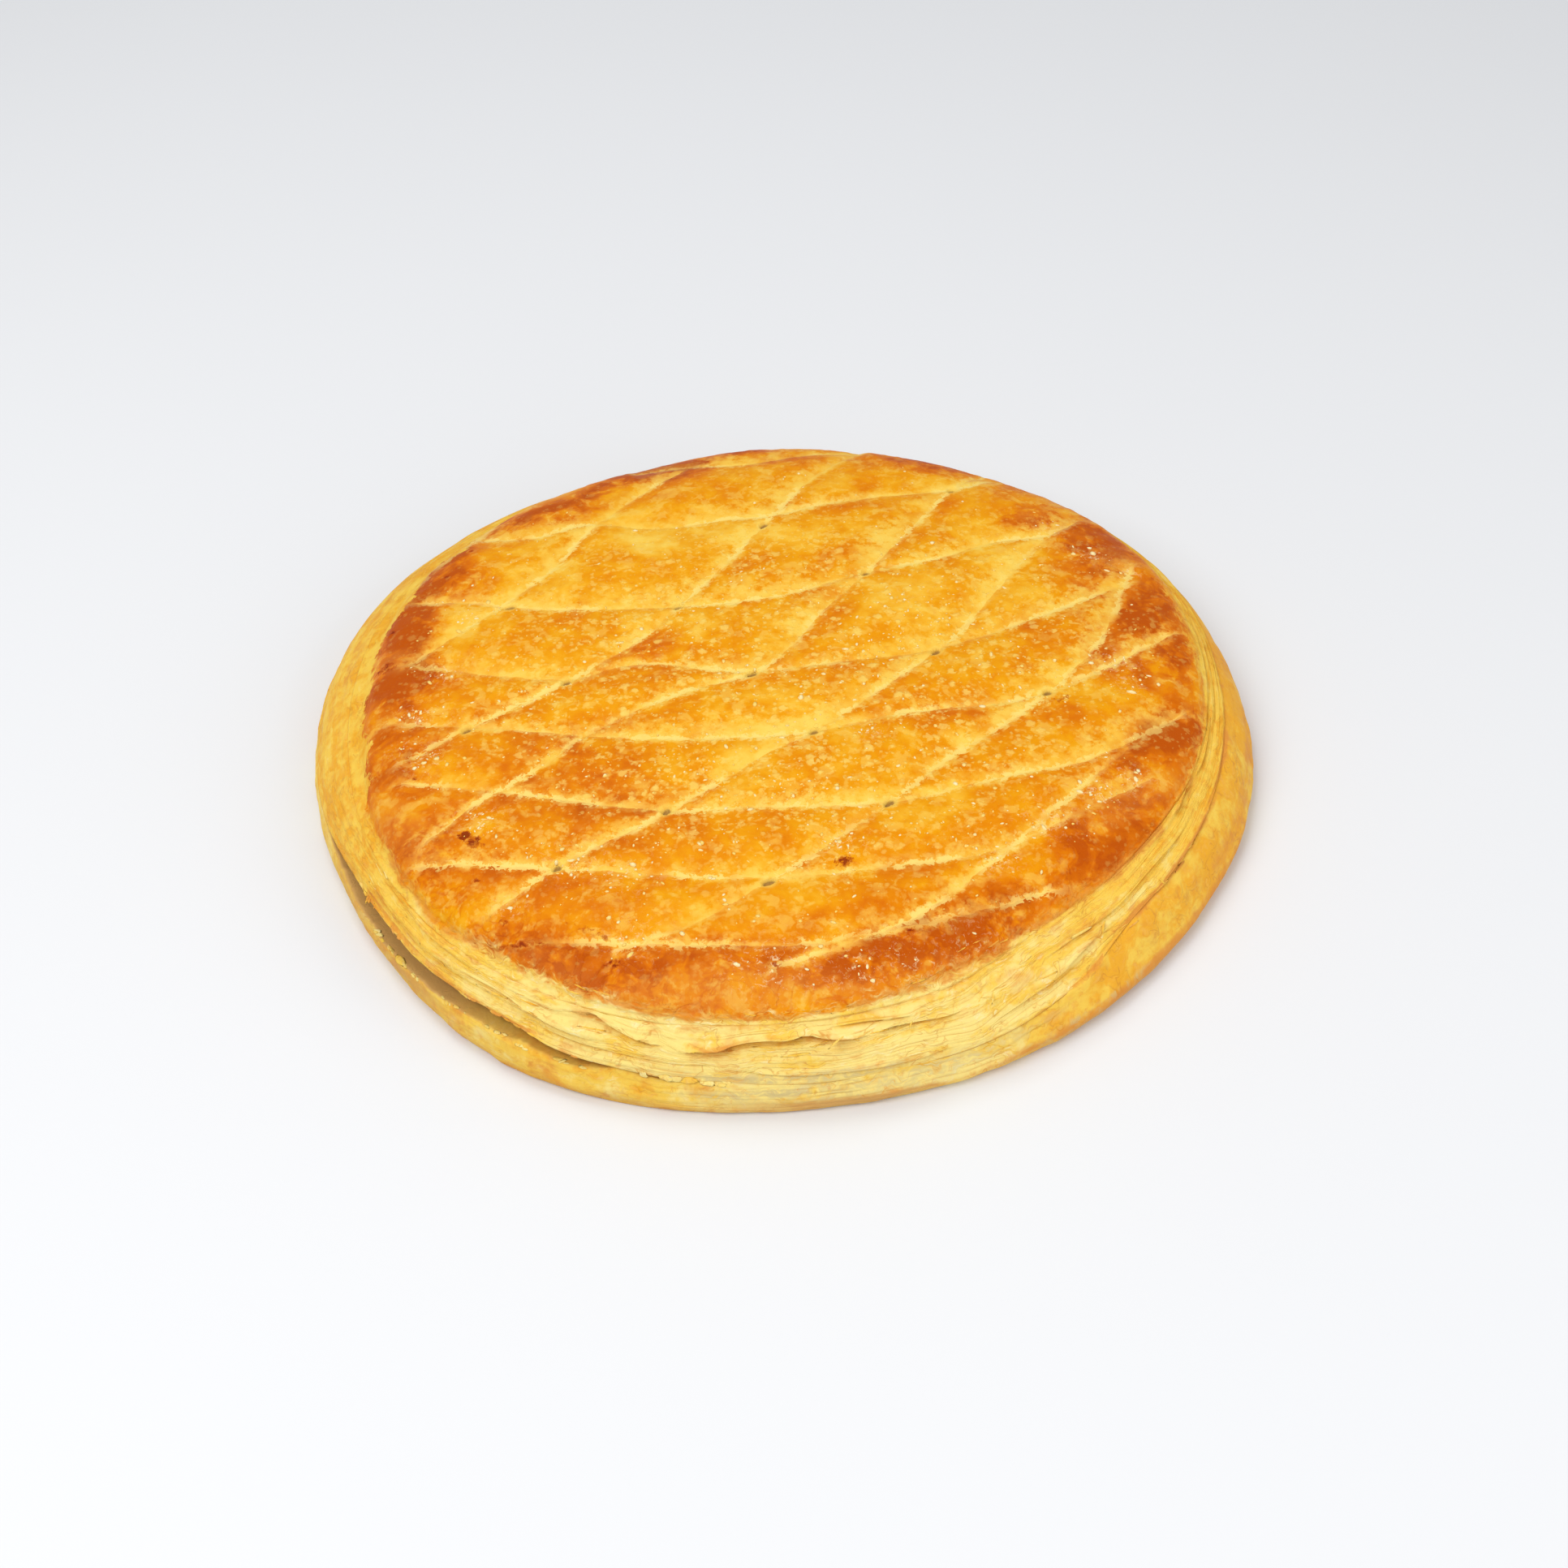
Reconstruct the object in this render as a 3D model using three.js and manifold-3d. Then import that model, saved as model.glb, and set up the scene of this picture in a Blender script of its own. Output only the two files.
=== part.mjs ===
// A galette des rois: a round, filled puff-pastry pie, baked whole and uncut.
//
// Millimetres, +Z up. The origin is the middle of the flat bottom, on the surface the pie rests on.
// The pie is one closed solid. Its skin is a stack of rings round the Z axis, from the crown of the
// lid, over the browned rim, down the layered side and in to the middle of the base. The scores on
// the lid are grooves cut along two families of arcs, and a small vent is cut where they cross.
import * as THREE from "three";
import { mergeVertices } from "three/addons/utils/BufferGeometryUtils.js";
import Module from "manifold-3d";

// Driving dimensions, in millimetres.
const BASE_REACH = 123.9; // mean radius of the bottom sheet, the widest part
const RIM_REACH = 108.9; // mean radius of the browned lid
const RIM_HEIGHT = 23.5; // edge of the lid above the table
const CROWN_HEIGHT = 33; // middle of the lid above the table
const SHOULDER_FALL = 0.35; // share of the dome's rise that the lid has lost when it reaches the rim's roll
const SWELL_POWER = 8; // the swelling dies away close to the rim
const PUFF = 1.1; // how far the pastry swells between two scores
const PUFF_WIDTH = 9; // distance from a score at which the swelling is full
const GROOVE_DEPTH = 1.3; // a score is a V-shaped groove
const GROOVE_WIDTH = 3.4; // across its mouth, at the lid's own height
const VENT_LENGTH = 3;
const VENT_WIDTH = 0.9;
const VENT_DEPTH = 3;
const VENT_ZONE = 90; // the vents lie within this distance of the middle

// How finely the skin is divided.
const SECTORS = 90;
const LID_RINGS = 11;
const RING_CROWDING = 1.25; // above 1, the lid's rings crowd towards the rim
const GROOVE_STEPS = 14;

// The outlines aren't quite round: each lobe pushes the edge out by `size` where its peak points.
const BASE_LOBES = [
  { order: 1, size: 1.7, peak: 108 },
  { order: 2, size: 1.9, peak: 164 },
  { order: 3, size: 2.5, peak: 25 },
  { order: 4, size: 1.3, peak: 61 },
  { order: 5, size: 0.7, peak: 13 },
  { order: 7, size: 0.5, peak: 38 },
];
const RIM_LOBES = [
  { order: 1, size: 0.7, peak: 91 },
  { order: 2, size: 1.7, peak: 46 },
  { order: 3, size: 2.4, peak: 15 },
  { order: 4, size: 0.4, peak: 79 },
  { order: 5, size: 0.4, peak: 70 },
  { order: 6, size: 0.8, peak: 30 },
];

// The side from the lid down: `share` runs from 0 at the lid's edge to 1 at the widest reach.
// A station with `lift` rises and falls with the seam between the upper pastry and the bottom sheet.
const SIDE_STATIONS = [
  { share: 0.14, height: 21.6, lift: 0 },
  { share: 0.4, height: 19, lift: 0.2 },
  { share: 0.64, height: 15.6, lift: 0.5 },
  { share: 0.8, height: 12, lift: 0.8 },
  { share: 0.87, height: 9.4, lift: 1 },
  { share: 0.72, height: 8, lift: 1 },
  { share: 0.95, height: 6.4, lift: 0.7 },
  { share: 1, height: 3.8, lift: 0 },
  { share: 0.97, height: 1.6, lift: 0 },
  { share: 0.88, height: 0, lift: 0 },
];
const SEAM_LIFT = 1.8; // how far the seam rises and falls round the pie
const SEAM_PEAK = 340; // where it is highest, in degrees from +X

// The scores: `heading` is a family's direction in degrees from +X, `bow` bends its arcs, and each
// offset is where one arc crosses the line at right angles to the heading through the origin.
const SCORE_FAMILIES = [
  { heading: 43, bow: 0.00155, offsets: [77.1, 38.3, 6.8, -26.1, -57.9, -86] },
  { heading: 6, bow: 0.00246, offsets: [97.2, 64.7, 29.4, -1.9, -27.2, -53.1, -74.3, -94] },
];
const SCORE_REACH = 0.97; // the scores stop at this share of the lid's radius

const radians = THREE.MathUtils.degToRad;
const wasm = await Module();
wasm.setup();

// The outline's radius at an angle, in radians from +X.
function reach(mean, lobes, angle) {
  const pushes = lobes.map(({ order, size, peak }) => size * Math.cos(order * (angle - radians(peak))));
  return pushes.reduce((sum, push) => sum + push, mean);
}

// A point of a family's frame (along the heading, across it) as x and y.
function fromFamily(family, along, across) {
  const turn = radians(family.heading);
  return new THREE.Vector2(along, across).rotateAround(new THREE.Vector2(), turn);
}

// The distance from a point to the nearest score of a family.
function distanceToScores(family, x, y) {
  const local = new THREE.Vector2(x, y).rotateAround(new THREE.Vector2(), -radians(family.heading));
  const slope = 2 * family.bow * local.x;
  const gaps = family.offsets.map((offset) => Math.abs(local.y - offset - family.bow * local.x ** 2));
  return Math.min(...gaps) / Math.hypot(1, slope);
}

// The height of the lid: a low dome, with the pastry swollen between the scores.
function lidHeight(x, y) {
  const rim = reach(RIM_REACH, RIM_LOBES, Math.atan2(y, x));
  const share = Math.min(Math.hypot(x, y) / rim, 1);
  const fall = 1 - SHOULDER_FALL * share ** 2;
  const dome = (CROWN_HEIGHT - RIM_HEIGHT) * Math.sqrt(1 - share ** 4) * fall;
  const gap = Math.min(...SCORE_FAMILIES.map((family) => distanceToScores(family, x, y)));
  const swelling = PUFF * THREE.MathUtils.smoothstep(gap, 0, PUFF_WIDTH) * (1 - share ** SWELL_POWER);
  return RIM_HEIGHT + dome + swelling;
}

// The skin's rings from the crown to the foot: each gives the point that it has at an angle.
function lidRing(index) {
  const share = 1 - (1 - index / LID_RINGS) ** RING_CROWDING;
  return (angle) => {
    const radius = share * reach(RIM_REACH, RIM_LOBES, angle);
    const x = radius * Math.cos(angle);
    const y = radius * Math.sin(angle);
    return [x, y, lidHeight(x, y)];
  };
}

function sideRing({ share, height, lift }) {
  return (angle) => {
    const rim = reach(RIM_REACH, RIM_LOBES, angle);
    const base = reach(BASE_REACH, BASE_LOBES, angle);
    const radius = THREE.MathUtils.lerp(rim, base, share);
    const seam = lift * SEAM_LIFT * Math.cos(angle - radians(SEAM_PEAK));
    return [radius * Math.cos(angle), radius * Math.sin(angle), height + seam];
  };
}

// A closed skin: a pole on the crown, the rings, and a pole in the middle of the base.
function skin(rings, crown) {
  const points = [0, 0, crown];
  const triangles = [];
  rings.forEach((ring) => {
    for (let sector = 0; sector < SECTORS; sector += 1) {
      points.push(...ring((sector / SECTORS) * 2 * Math.PI));
    }
  });
  const last = points.length / 3;
  points.push(0, 0, 0);
  const index = (ring, sector) => 1 + ring * SECTORS + (sector % SECTORS);
  for (let sector = 0; sector < SECTORS; sector += 1) {
    triangles.push(0, index(0, sector), index(0, sector + 1));
    triangles.push(last, index(rings.length - 1, sector + 1), index(rings.length - 1, sector));
    for (let ring = 0; ring < rings.length - 1; ring += 1) {
      const [a, b] = [index(ring, sector), index(ring, sector + 1)];
      const [c, d] = [index(ring + 1, sector), index(ring + 1, sector + 1)];
      triangles.push(a, c, b, b, c, d);
    }
  }
  const geometry = new THREE.BufferGeometry();
  geometry.setAttribute("position", new THREE.Float32BufferAttribute(points, 3));
  geometry.setIndex(triangles);
  return geometry;
}

// One score: a tube that follows the lid along an arc, and rises out of it at both ends.
function grooveTube(family, offset) {
  const inside = [];
  for (let along = -RIM_REACH; along <= RIM_REACH; along += 1) {
    const point = fromFamily(family, along, offset + family.bow * along ** 2);
    const rim = reach(RIM_REACH, RIM_LOBES, Math.atan2(point.y, point.x));
    if (point.length() < SCORE_REACH * rim) inside.push(point);
  }
  const path = [];
  for (let step = 0; step <= GROOVE_STEPS; step += 1) {
    const { x, y } = inside[Math.round((step / GROOVE_STEPS) * (inside.length - 1))];
    const rise = step === 0 || step === GROOVE_STEPS ? GROOVE_DEPTH : 0;
    path.push(new THREE.Vector3(x, y, lidHeight(x, y) + rise));
  }
  // The section's first axis points down into the lid, and its second lies across the score.
  const section = new THREE.Shape();
  section.moveTo(GROOVE_DEPTH, 0);
  section.lineTo(-GROOVE_DEPTH, GROOVE_WIDTH);
  section.lineTo(-GROOVE_DEPTH, -GROOVE_WIDTH);
  return new THREE.ExtrudeGeometry(section, {
    steps: GROOVE_STEPS,
    bevelEnabled: false,
    extrudePath: new THREE.CatmullRomCurve3(path),
  });
}

// Where an arc of the first family crosses one of the second, found by walking along the first.
function crossing(steep, steepOffset, shallow, shallowOffset) {
  let best = null;
  for (let along = -RIM_REACH; along <= RIM_REACH; along += 0.5) {
    const point = fromFamily(steep, along, steepOffset + steep.bow * along ** 2);
    const local = point.clone().rotateAround(new THREE.Vector2(), -radians(shallow.heading));
    const gap = Math.abs(local.y - shallowOffset - shallow.bow * local.x ** 2);
    if (!best || gap < best.gap) best = { point, gap };
  }
  return best.gap < 1 ? best.point : null;
}

// A vent: a lens-shaped slit pushed into the lid.
function ventBlade({ x, y }, heading) {
  const half = VENT_LENGTH / 2;
  const outline = new THREE.Shape();
  outline.moveTo(-half, 0);
  outline.quadraticCurveTo(0, -VENT_WIDTH, half, 0);
  outline.quadraticCurveTo(0, VENT_WIDTH, -half, 0);
  const blade = new THREE.ExtrudeGeometry(outline, {
    depth: 2 * VENT_DEPTH,
    bevelEnabled: false,
    curveSegments: 3,
  });
  return blade.rotateZ(radians(heading)).translate(x, y, lidHeight(x, y) - GROOVE_DEPTH - VENT_DEPTH);
}

function toSolid(geometry) {
  geometry.deleteAttribute("normal");
  geometry.deleteAttribute("uv");
  const merged = mergeVertices(geometry, 1e-4);
  return new wasm.Manifold(
    new wasm.Mesh({
      numProp: 3,
      vertProperties: merged.attributes.position.array,
      triVerts: new Uint32Array(merged.index.array),
    }),
  );
}

function toGeometry(solid) {
  const { vertProperties, triVerts } = solid.getMesh();
  const geometry = new THREE.BufferGeometry();
  geometry.setAttribute("position", new THREE.BufferAttribute(vertProperties, 3));
  geometry.setIndex(new THREE.BufferAttribute(triVerts, 1));
  geometry.computeVertexNormals();
  return geometry;
}

function buildPie() {
  const rings = [];
  for (let index = 1; index <= LID_RINGS; index += 1) rings.push(lidRing(index));
  rings.push(...SIDE_STATIONS.map(sideRing));
  let pie = toSolid(skin(rings, lidHeight(0, 0)));
  SCORE_FAMILIES.forEach((family) => {
    family.offsets.forEach((offset) => {
      pie = pie.subtract(toSolid(grooveTube(family, offset)));
    });
  });
  const [steep, shallow] = SCORE_FAMILIES;
  steep.offsets.forEach((steepOffset) => {
    shallow.offsets.forEach((shallowOffset) => {
      const point = crossing(steep, steepOffset, shallow, shallowOffset);
      if (point && point.length() < VENT_ZONE) pie = pie.subtract(toSolid(ventBlade(point, steep.heading)));
    });
  });
  return pie;
}

// The whole pie, with the middle of its box on the Z axis.
const geometry = toGeometry(buildPie());
geometry.computeBoundingBox();
const middle = geometry.boundingBox.getCenter(new THREE.Vector3());
geometry.translate(-middle.x, -middle.y, 0);

const crust = new THREE.MeshStandardMaterial({ color: 0xe6991f, roughness: 0.45, metalness: 0 });
const galette = new THREE.Mesh(geometry, crust);
galette.name = "galette";

const part = new THREE.Group();
part.add(galette);

export default part;
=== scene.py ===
"""Looks of a galette des rois: a round puff-pastry pie, baked whole, scored, glazed and browned.

Shapes are worked out in millimetres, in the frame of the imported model, and set on the meshes in
metres. Angles run anticlockwise from +X, seen from above. The pie is made of a lid that rolls over
the shoulder, a ring of leaves that shows at the side, and a bottom sheet that it all rests on.
"""

import logging
from collections.abc import Callable
from dataclasses import dataclass, field
from enum import Enum
from math import cos, pi, radians, sin
from typing import TypeVar

import bpy
import numpy as np
from mathutils import Matrix, Vector
from mathutils.kdtree import KDTree


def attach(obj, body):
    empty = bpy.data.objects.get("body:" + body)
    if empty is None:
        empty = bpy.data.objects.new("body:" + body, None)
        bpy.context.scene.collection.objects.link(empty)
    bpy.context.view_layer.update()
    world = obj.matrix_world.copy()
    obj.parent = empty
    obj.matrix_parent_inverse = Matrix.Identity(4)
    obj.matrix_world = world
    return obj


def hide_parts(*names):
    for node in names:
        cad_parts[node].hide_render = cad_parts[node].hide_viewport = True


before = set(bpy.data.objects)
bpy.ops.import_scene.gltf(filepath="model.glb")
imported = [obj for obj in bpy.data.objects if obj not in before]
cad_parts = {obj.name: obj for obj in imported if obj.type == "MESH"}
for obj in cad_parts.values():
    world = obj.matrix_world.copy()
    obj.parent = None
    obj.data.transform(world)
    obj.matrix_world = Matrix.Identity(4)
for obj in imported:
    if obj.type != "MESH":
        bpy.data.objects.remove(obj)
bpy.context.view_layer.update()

LOG = logging.getLogger("galette")
METRES = 0.001
TURN = 2 * pi
LIGHT_GAIN = 1.15
GLOSS = 0.007
Array = np.ndarray
Colour = tuple[float, float, float]
Spot = tuple[Array, Array]
Kind = TypeVar("Kind")
Material = bpy.types.Material
Piece = bpy.types.Object
Socket = bpy.types.NodeSocket


def linear(red: int, green: int, blue: int) -> Colour:
    """Turn a screen colour of 0 to 255 a channel into the scene's linear values."""
    shares = (np.array([red, green, blue], float) / 255 + 0.055) / 1.055
    return tuple(float(value) for value in shares**2.4)


def seen(red: int, green: int, blue: int) -> Colour:
    """Find the linear base colour that looks like a screen colour under the studio's light."""
    return tuple(max((value - GLOSS) / LIGHT_GAIN, 0.002) for value in linear(red, green, blue))


def smooth(value: Array, low: float, high: float) -> Array:
    """Ease values from 0 at low to 1 at high, which may lie below low."""
    share = np.clip((value - low) / (high - low), 0, 1)
    return share * share * (3 - 2 * share)


def turn_gap(angle: Array, middle: float) -> Array:
    """Measure the signed angles from a middle, the short way round, all in degrees."""
    return (angle - middle + 180) % 360 - 180


def towards(degrees: Array, middle: float, far: float, close: float) -> Array:
    """Ease from 0 at some degrees off a middle to 1 at others; either may be the nearer."""
    return smooth(np.abs(turn_gap(degrees, middle)), far, close)


def each(kind: Callable[..., Kind], *rows: tuple) -> tuple[Kind, ...]:
    """Make one of a kind from the values of every row."""
    return tuple(kind(*row) for row in rows)


def turned(x: Array, y: Array, heading: float) -> tuple[Array, Array]:
    """Read x and y in a frame turned to a heading in degrees: the places along it and across it."""
    turn = radians(heading)
    return x * cos(turn) + y * sin(turn), y * cos(turn) - x * sin(turn)


class Grain:
    """Seeded smooth noise through space."""

    def __init__(self, seed: int) -> None:
        """Deal out the slopes of the noise; the same seed gives the same noise each run."""
        dice = np.random.default_rng(seed)
        self.order = np.tile(dice.permutation(256), 3)
        slopes = dice.normal(size=(256, 3))
        self.slopes = slopes / np.linalg.norm(slopes, axis=1, keepdims=True)

    def at(self, x: Array, y: Array | float = 0.0, z: Array | float = 0.0) -> Array:
        """Read the noise.

        Args:
            x: First coordinate, one noise cell to a unit.
            y: Second coordinate.
            z: Third coordinate.

        Returns:
            Values about 0, nearly all within -1 and 1.
        """
        points = np.stack(np.broadcast_arrays(x, y, z), -1).astype(float)
        cell = np.floor(points).astype(int)
        part = points - cell
        ease = part * part * part * (part * (part * 6 - 15) + 10)
        cell &= 255
        total = np.zeros(points.shape[:-1])
        for corner in np.ndindex(2, 2, 2):
            step = np.array(corner)
            key = cell + step
            pick = self.order[self.order[self.order[key[..., 0]] + key[..., 1]] + key[..., 2]]
            slope = self.slopes[pick]
            weight = np.prod(np.where(step == 1, ease, 1 - ease), axis=-1)
            total += weight * np.sum(slope * (part - step), axis=-1)
        return total * 1.9

    def layered(self, x: Array, y: Array | float, z: Array | float, octaves: int, gain: float = 0.5) -> Array:
        """Add finer and finer noise.

        Args:
            x: First coordinate.
            y: Second coordinate.
            z: Third coordinate.
            octaves: How many layers, each twice as fine.
            gain: Strength of each layer as a share of the one before.

        Returns:
            The sum, kept in about -1 to 1.
        """
        total, strength, weight = 0.0, 1.0, 0.0
        for octave in range(octaves):
            fine = 2.0**octave
            total = total + strength * self.at(x * fine + 7.3 * octave, y * fine, z * fine)
            weight += strength
            strength *= gain
        return total / weight


@dataclass(frozen=True)
class Lobe:
    """One wave of an outline that isn't quite round."""

    order: int
    size: float
    peak: float


@dataclass(frozen=True)
class Outline:
    """A nearly round outline."""

    mean: float
    lobes: tuple[Lobe, ...]

    def reach(self, angle: Array) -> Array:
        """Find the outline's radii, in millimetres, at angles in radians."""
        waves = [lobe.size * np.cos(lobe.order * (angle - radians(lobe.peak))) for lobe in self.lobes]
        return self.mean + sum(waves)


RIM = Outline(
    108.9, each(Lobe, (1, 0.7, 91), (2, 1.7, 46), (3, 2.4, 15), (4, 0.4, 79), (5, 0.4, 70), (6, 0.8, 30))
)
BASE = Outline(
    123.9, each(Lobe, (1, 1.7, 108), (2, 1.9, 164), (3, 2.5, 25), (4, 1.3, 61), (5, 0.7, 13), (7, 0.5, 38))
)


@dataclass(frozen=True)
class Stations:
    """A smooth curve through a few given points, open or once round the pie."""

    points: tuple[tuple[float, ...], ...]
    period: float = 0.0

    def at(self, where: Array) -> Array:
        """Read the curve.

        Args:
            where: Places along it, in the unit of each point's first number.

        Returns:
            The points' other numbers there, one column each, or a flat array where there is one.
        """
        table = np.array(self.points, float)
        if self.period:
            before, after = table[-2:].copy(), table[:2].copy()
            before[:, 0] -= self.period
            after[:, 0] += self.period
            table = np.vstack([before, table, after])
            where = where % self.period
        keys, values = table[:, 0], table[:, 1:]
        slopes = np.gradient(values, keys, axis=0)
        index = np.clip(np.searchsorted(keys, where, side="right") - 1, 0, len(keys) - 2)
        span = keys[index + 1] - keys[index]
        t = np.clip((where - keys[index]) / span, 0, 1)[..., None]
        span = span[..., None]
        low, high = values[index], values[index + 1]
        rise, fall = slopes[index] * span, slopes[index + 1] * span
        curve = (2 * t**3 - 3 * t**2 + 1) * low + (t**3 - 2 * t**2 + t) * rise
        curve = curve + (-2 * t**3 + 3 * t**2) * high + (t**3 - t**2) * fall
        return curve[..., 0] if curve.shape[-1] == 1 else curve


def around(*points: tuple[float, ...]) -> Stations:
    """Make a curve once round the pie from points of an angle in degrees and its values."""
    return Stations(points, 360)


@dataclass(frozen=True)
class Section:
    """The pie's section from the crown, over the shoulder, to the foot of the bottom sheet."""

    rim_height: float = 23.5
    dome: float = 4.5
    roll: float = 5.0
    roll_power: int = 16
    side: Stations = Stations(
        (
            (0.0, 0.0, 23.5),
            (0.11, 0.14, 21.6),
            (0.29, 0.40, 19.0),
            (0.49, 0.64, 15.6),
            (0.66, 0.80, 12.0),
            (0.77, 0.87, 9.4),
            (0.90, 0.95, 6.4),
            (1.00, 1.00, 3.8),
            (1.09, 0.975, 1.5),
            (1.16, 0.90, 0.0),
        )
    )

    def lid(self, angle: Array, share: Array) -> tuple[Array, Array, Array, Array]:
        """Place points of the lid, before any relief.

        Args:
            angle: Angles in radians.
            share: Distance from the middle as a share of the rim's reach.

        Returns:
            Radius, height, and the two parts of the normal: outward and up.
        """
        rim = RIM.reach(angle)
        height = self.rim_height + self.dome * (1 - share**2) + self.roll * (1 - share**self.roll_power)
        slope = -(2 * self.dome * share + self.roll_power * self.roll * share ** (self.roll_power - 1)) / rim
        steep = np.hypot(slope, 1)
        return share * rim, height, -slope / steep, 1 / steep

    def flank(self, angle: Array, fall: Array) -> tuple[Array, Array, Array, Array]:
        """Place points of the side, before any relief.

        Args:
            angle: Angles in radians.
            fall: 0 at the edge of the lid, 1 at the widest reach, a little more at the foot.

        Returns:
            Radius, height, and the two parts of the normal: outward and up.
        """
        nudge = 0.01
        rim, base = RIM.reach(angle), BASE.reach(angle)

        def place(where: Array) -> tuple[Array, Array]:
            read = self.side.at(where)
            return rim + (base - rim) * read[..., 0], read[..., 1]

        radius, height = place(fall)
        held = np.maximum(fall, nudge)
        before, after = place(held - nudge), place(held + nudge)
        outward, up = before[1] - after[1], after[0] - before[0]
        steep = np.hypot(outward, up)
        return radius, height, outward / steep, up / steep


SECTION = Section()
SIDE_LENGTH = 25.0
SIDE_REACH = 117.0


class Family(Enum):
    """The two ways the cuts run, and what the names of their attributes start with."""

    STEEP = "steep"
    SHALLOW = "shallow"


@dataclass(frozen=True)
class Score:
    """One knife cut across the lid: points of x, y and the width of its pale flank."""

    points: tuple[tuple[float, float, float], ...]

    def run(self, heading: float) -> Stations:
        """Turn the points into a curve along the family's heading, of the place across it and the width."""
        return Stations(tuple((*turned(x, y, heading), width) for x, y, width in self.points))


@dataclass(frozen=True)
class ScoreFamily:
    """Cuts that run the same way."""

    heading: float
    scores: tuple[Score, ...]

    def read(self, x: Array, y: Array) -> list[tuple[Array, Array, Array]]:
        """Measure every cut from every point.

        Args:
            x: Points' x.
            y: Points' y.

        Returns:
            For each cut the signed distance, positive behind it, its pale width, and a share that
            is 1 along the cut and fades past its two ends.
        """
        along, across = turned(x, y, self.heading)
        found = []
        for score in self.scores:
            curve = score.run(self.heading)
            first, last = curve.points[0][0], curve.points[-1][0]
            held = np.clip(along, first, last)
            here, ahead = curve.at(held), curve.at(held + 0.5)
            slope = (ahead[..., 0] - here[..., 0]) / 0.5
            past = np.maximum(first - along, along - last)
            ends = smooth(past, 5.0, -4.0)
            found.append(((across - here[..., 0]) / np.hypot(slope, 1), here[..., 1], ends))
        return found


def score_family(heading: float, *cuts: tuple[tuple[float, float, float], ...]) -> ScoreFamily:
    """Make a family of scores from its heading and each cut's points, from the back to the front."""
    return ScoreFamily(heading, tuple(Score(points) for points in cuts))


STEEP = score_family(
    43,
    ((-97, 11, 4), (-79, 27, 5), (-61, 46, 5), (-49, 66, 5), (-35, 83, 4), (-21, 98, 5)),
    (
        (-95, -27, 2), (-79, -17, 2), (-54, -2, 2.5), (-32, 16, 3), (-25, 26, 5), (-14, 41, 3),
        (-1, 62, 6), (15, 87, 4), (28, 102, 5),
    ),
    (
        (-87, -56, 2), (-77, -46, 1.5), (-61, -35, 2), (-49, -24, 2), (-24, -10, 3), (-6, -4, 4),
        (15, 23, 6), (26, 37, 8), (41, 59, 6), (53, 77, 5), (64, 89, 3),
    ),
    (
        (-69, -79, 3), (-54, -68, 2.5), (-28, -53, 2.5), (1, -32, 5), (9, -27, 6), (28, -11, 5),
        (42, 2, 6), (58, 23, 4), (68, 39, 4), (81, 57, 6),
    ),
    (
        (-39, -94, 1.5), (-19, -87, 3), (-4, -77, 2.5), (13, -64, 2), (26, -53, 3), (43, -37, 4),
        (59, -25, 5), (69, -15, 6), (85, 5, 4), (92, 21, 6), (99, 39, 6),
    ),
    (
        (-4, -102, 1), (11, -97, 1.5), (26, -91, 1.5), (41, -80, 2), (61, -61, 2), (79, -43, 2),
        (103, -21, 2),
    ),
)
SHALLOW = score_family(
    6,
    ((-41, 97, 4), (-19, 97, 3), (-9, 95.5, 5), (1, 97, 4), (11, 100, 3), (31, 102, 3)),
    (
        (-84, 69, 5), (-69, 64, 7), (-49, 68, 6), (-34, 64, 6), (-9, 66, 6), (-1, 66, 5), (16, 71, 2.5),
        (46, 76, 3), (53, 77, 4), (64, 83, 4),
    ),
    (
        (-99, 40, 3), (-79, 35, 5), (-71, 32, 5), (-44, 27, 4), (-25, 26, 5), (1, 28, 4), (26, 37, 5),
        (46, 42, 3), (61, 49, 4), (79, 54, 7), (87, 61, 5),
    ),
    (
        (-97, 12, 4), (-79, 5, 3.5), (-54, -1, 3), (-32, 2.7, 1.2), (-19, -1, 2), (-6, -3, 4),
        (16, -1, 3), (42, 3, 5), (61, 11, 4), (79, 20, 4), (96, 31, 6),
    ),
    (
        (-99, -11, 3), (-79, -16, 3), (-59, -21, 2), (-34, -26, 5), (1, -28, 6), (9, -27, 5),
        (31, -22, 2), (61, -18, 2.5), (69, -15, 4), (86, -5, 4), (106, 10, 2),
    ),
    (
        (-95, -34, 3), (-69, -41, 2.5), (-49, -47, 2), (-28, -52, 3), (1, -53, 3), (26, -53, 3),
        (56, -45, 3.5), (76, -40, 5), (93, -29, 5), (103, -21, 2),
    ),
    (
        (-89, -61, 3), (-61, -67, 2), (-34, -72, 1.5), (-4, -76, 2), (21, -74, 2), (51, -69, 3),
        (69, -59, 2), (78, -53, 2), (91, -45, 1),
    ),
    (
        (-61, -88, 1), (-39, -92, 1.2), (-14, -95, 1.2), (1, -96, 1.5), (21, -93, 2), (41, -88, 2),
        (63, -79, 1),
    ),
)
VENTS = (
    (-1, 62), (53, 77), (-25, 26), (26, 37), (-71, 32), (-54, -2), (-6, -4), (42, 2),
    (-79, -17), (9, -27), (69, -15), (-28, -52), (26, -53), (-4, -77), (-54, -68),
)


@dataclass(frozen=True)
class Patch:
    """A soft-edged oval on the lid."""

    x: float
    y: float
    long: float
    wide: float
    turn: float
    strength: float

    def weigh(self, x: Array, y: Array) -> Array:
        """Find the patch's strength at points' x and y."""
        along, across = turned(x - self.x, y - self.y, self.turn)
        return self.strength * smooth((along / self.long) ** 2 + (across / self.wide) ** 2, 1.9, 0.15)


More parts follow.
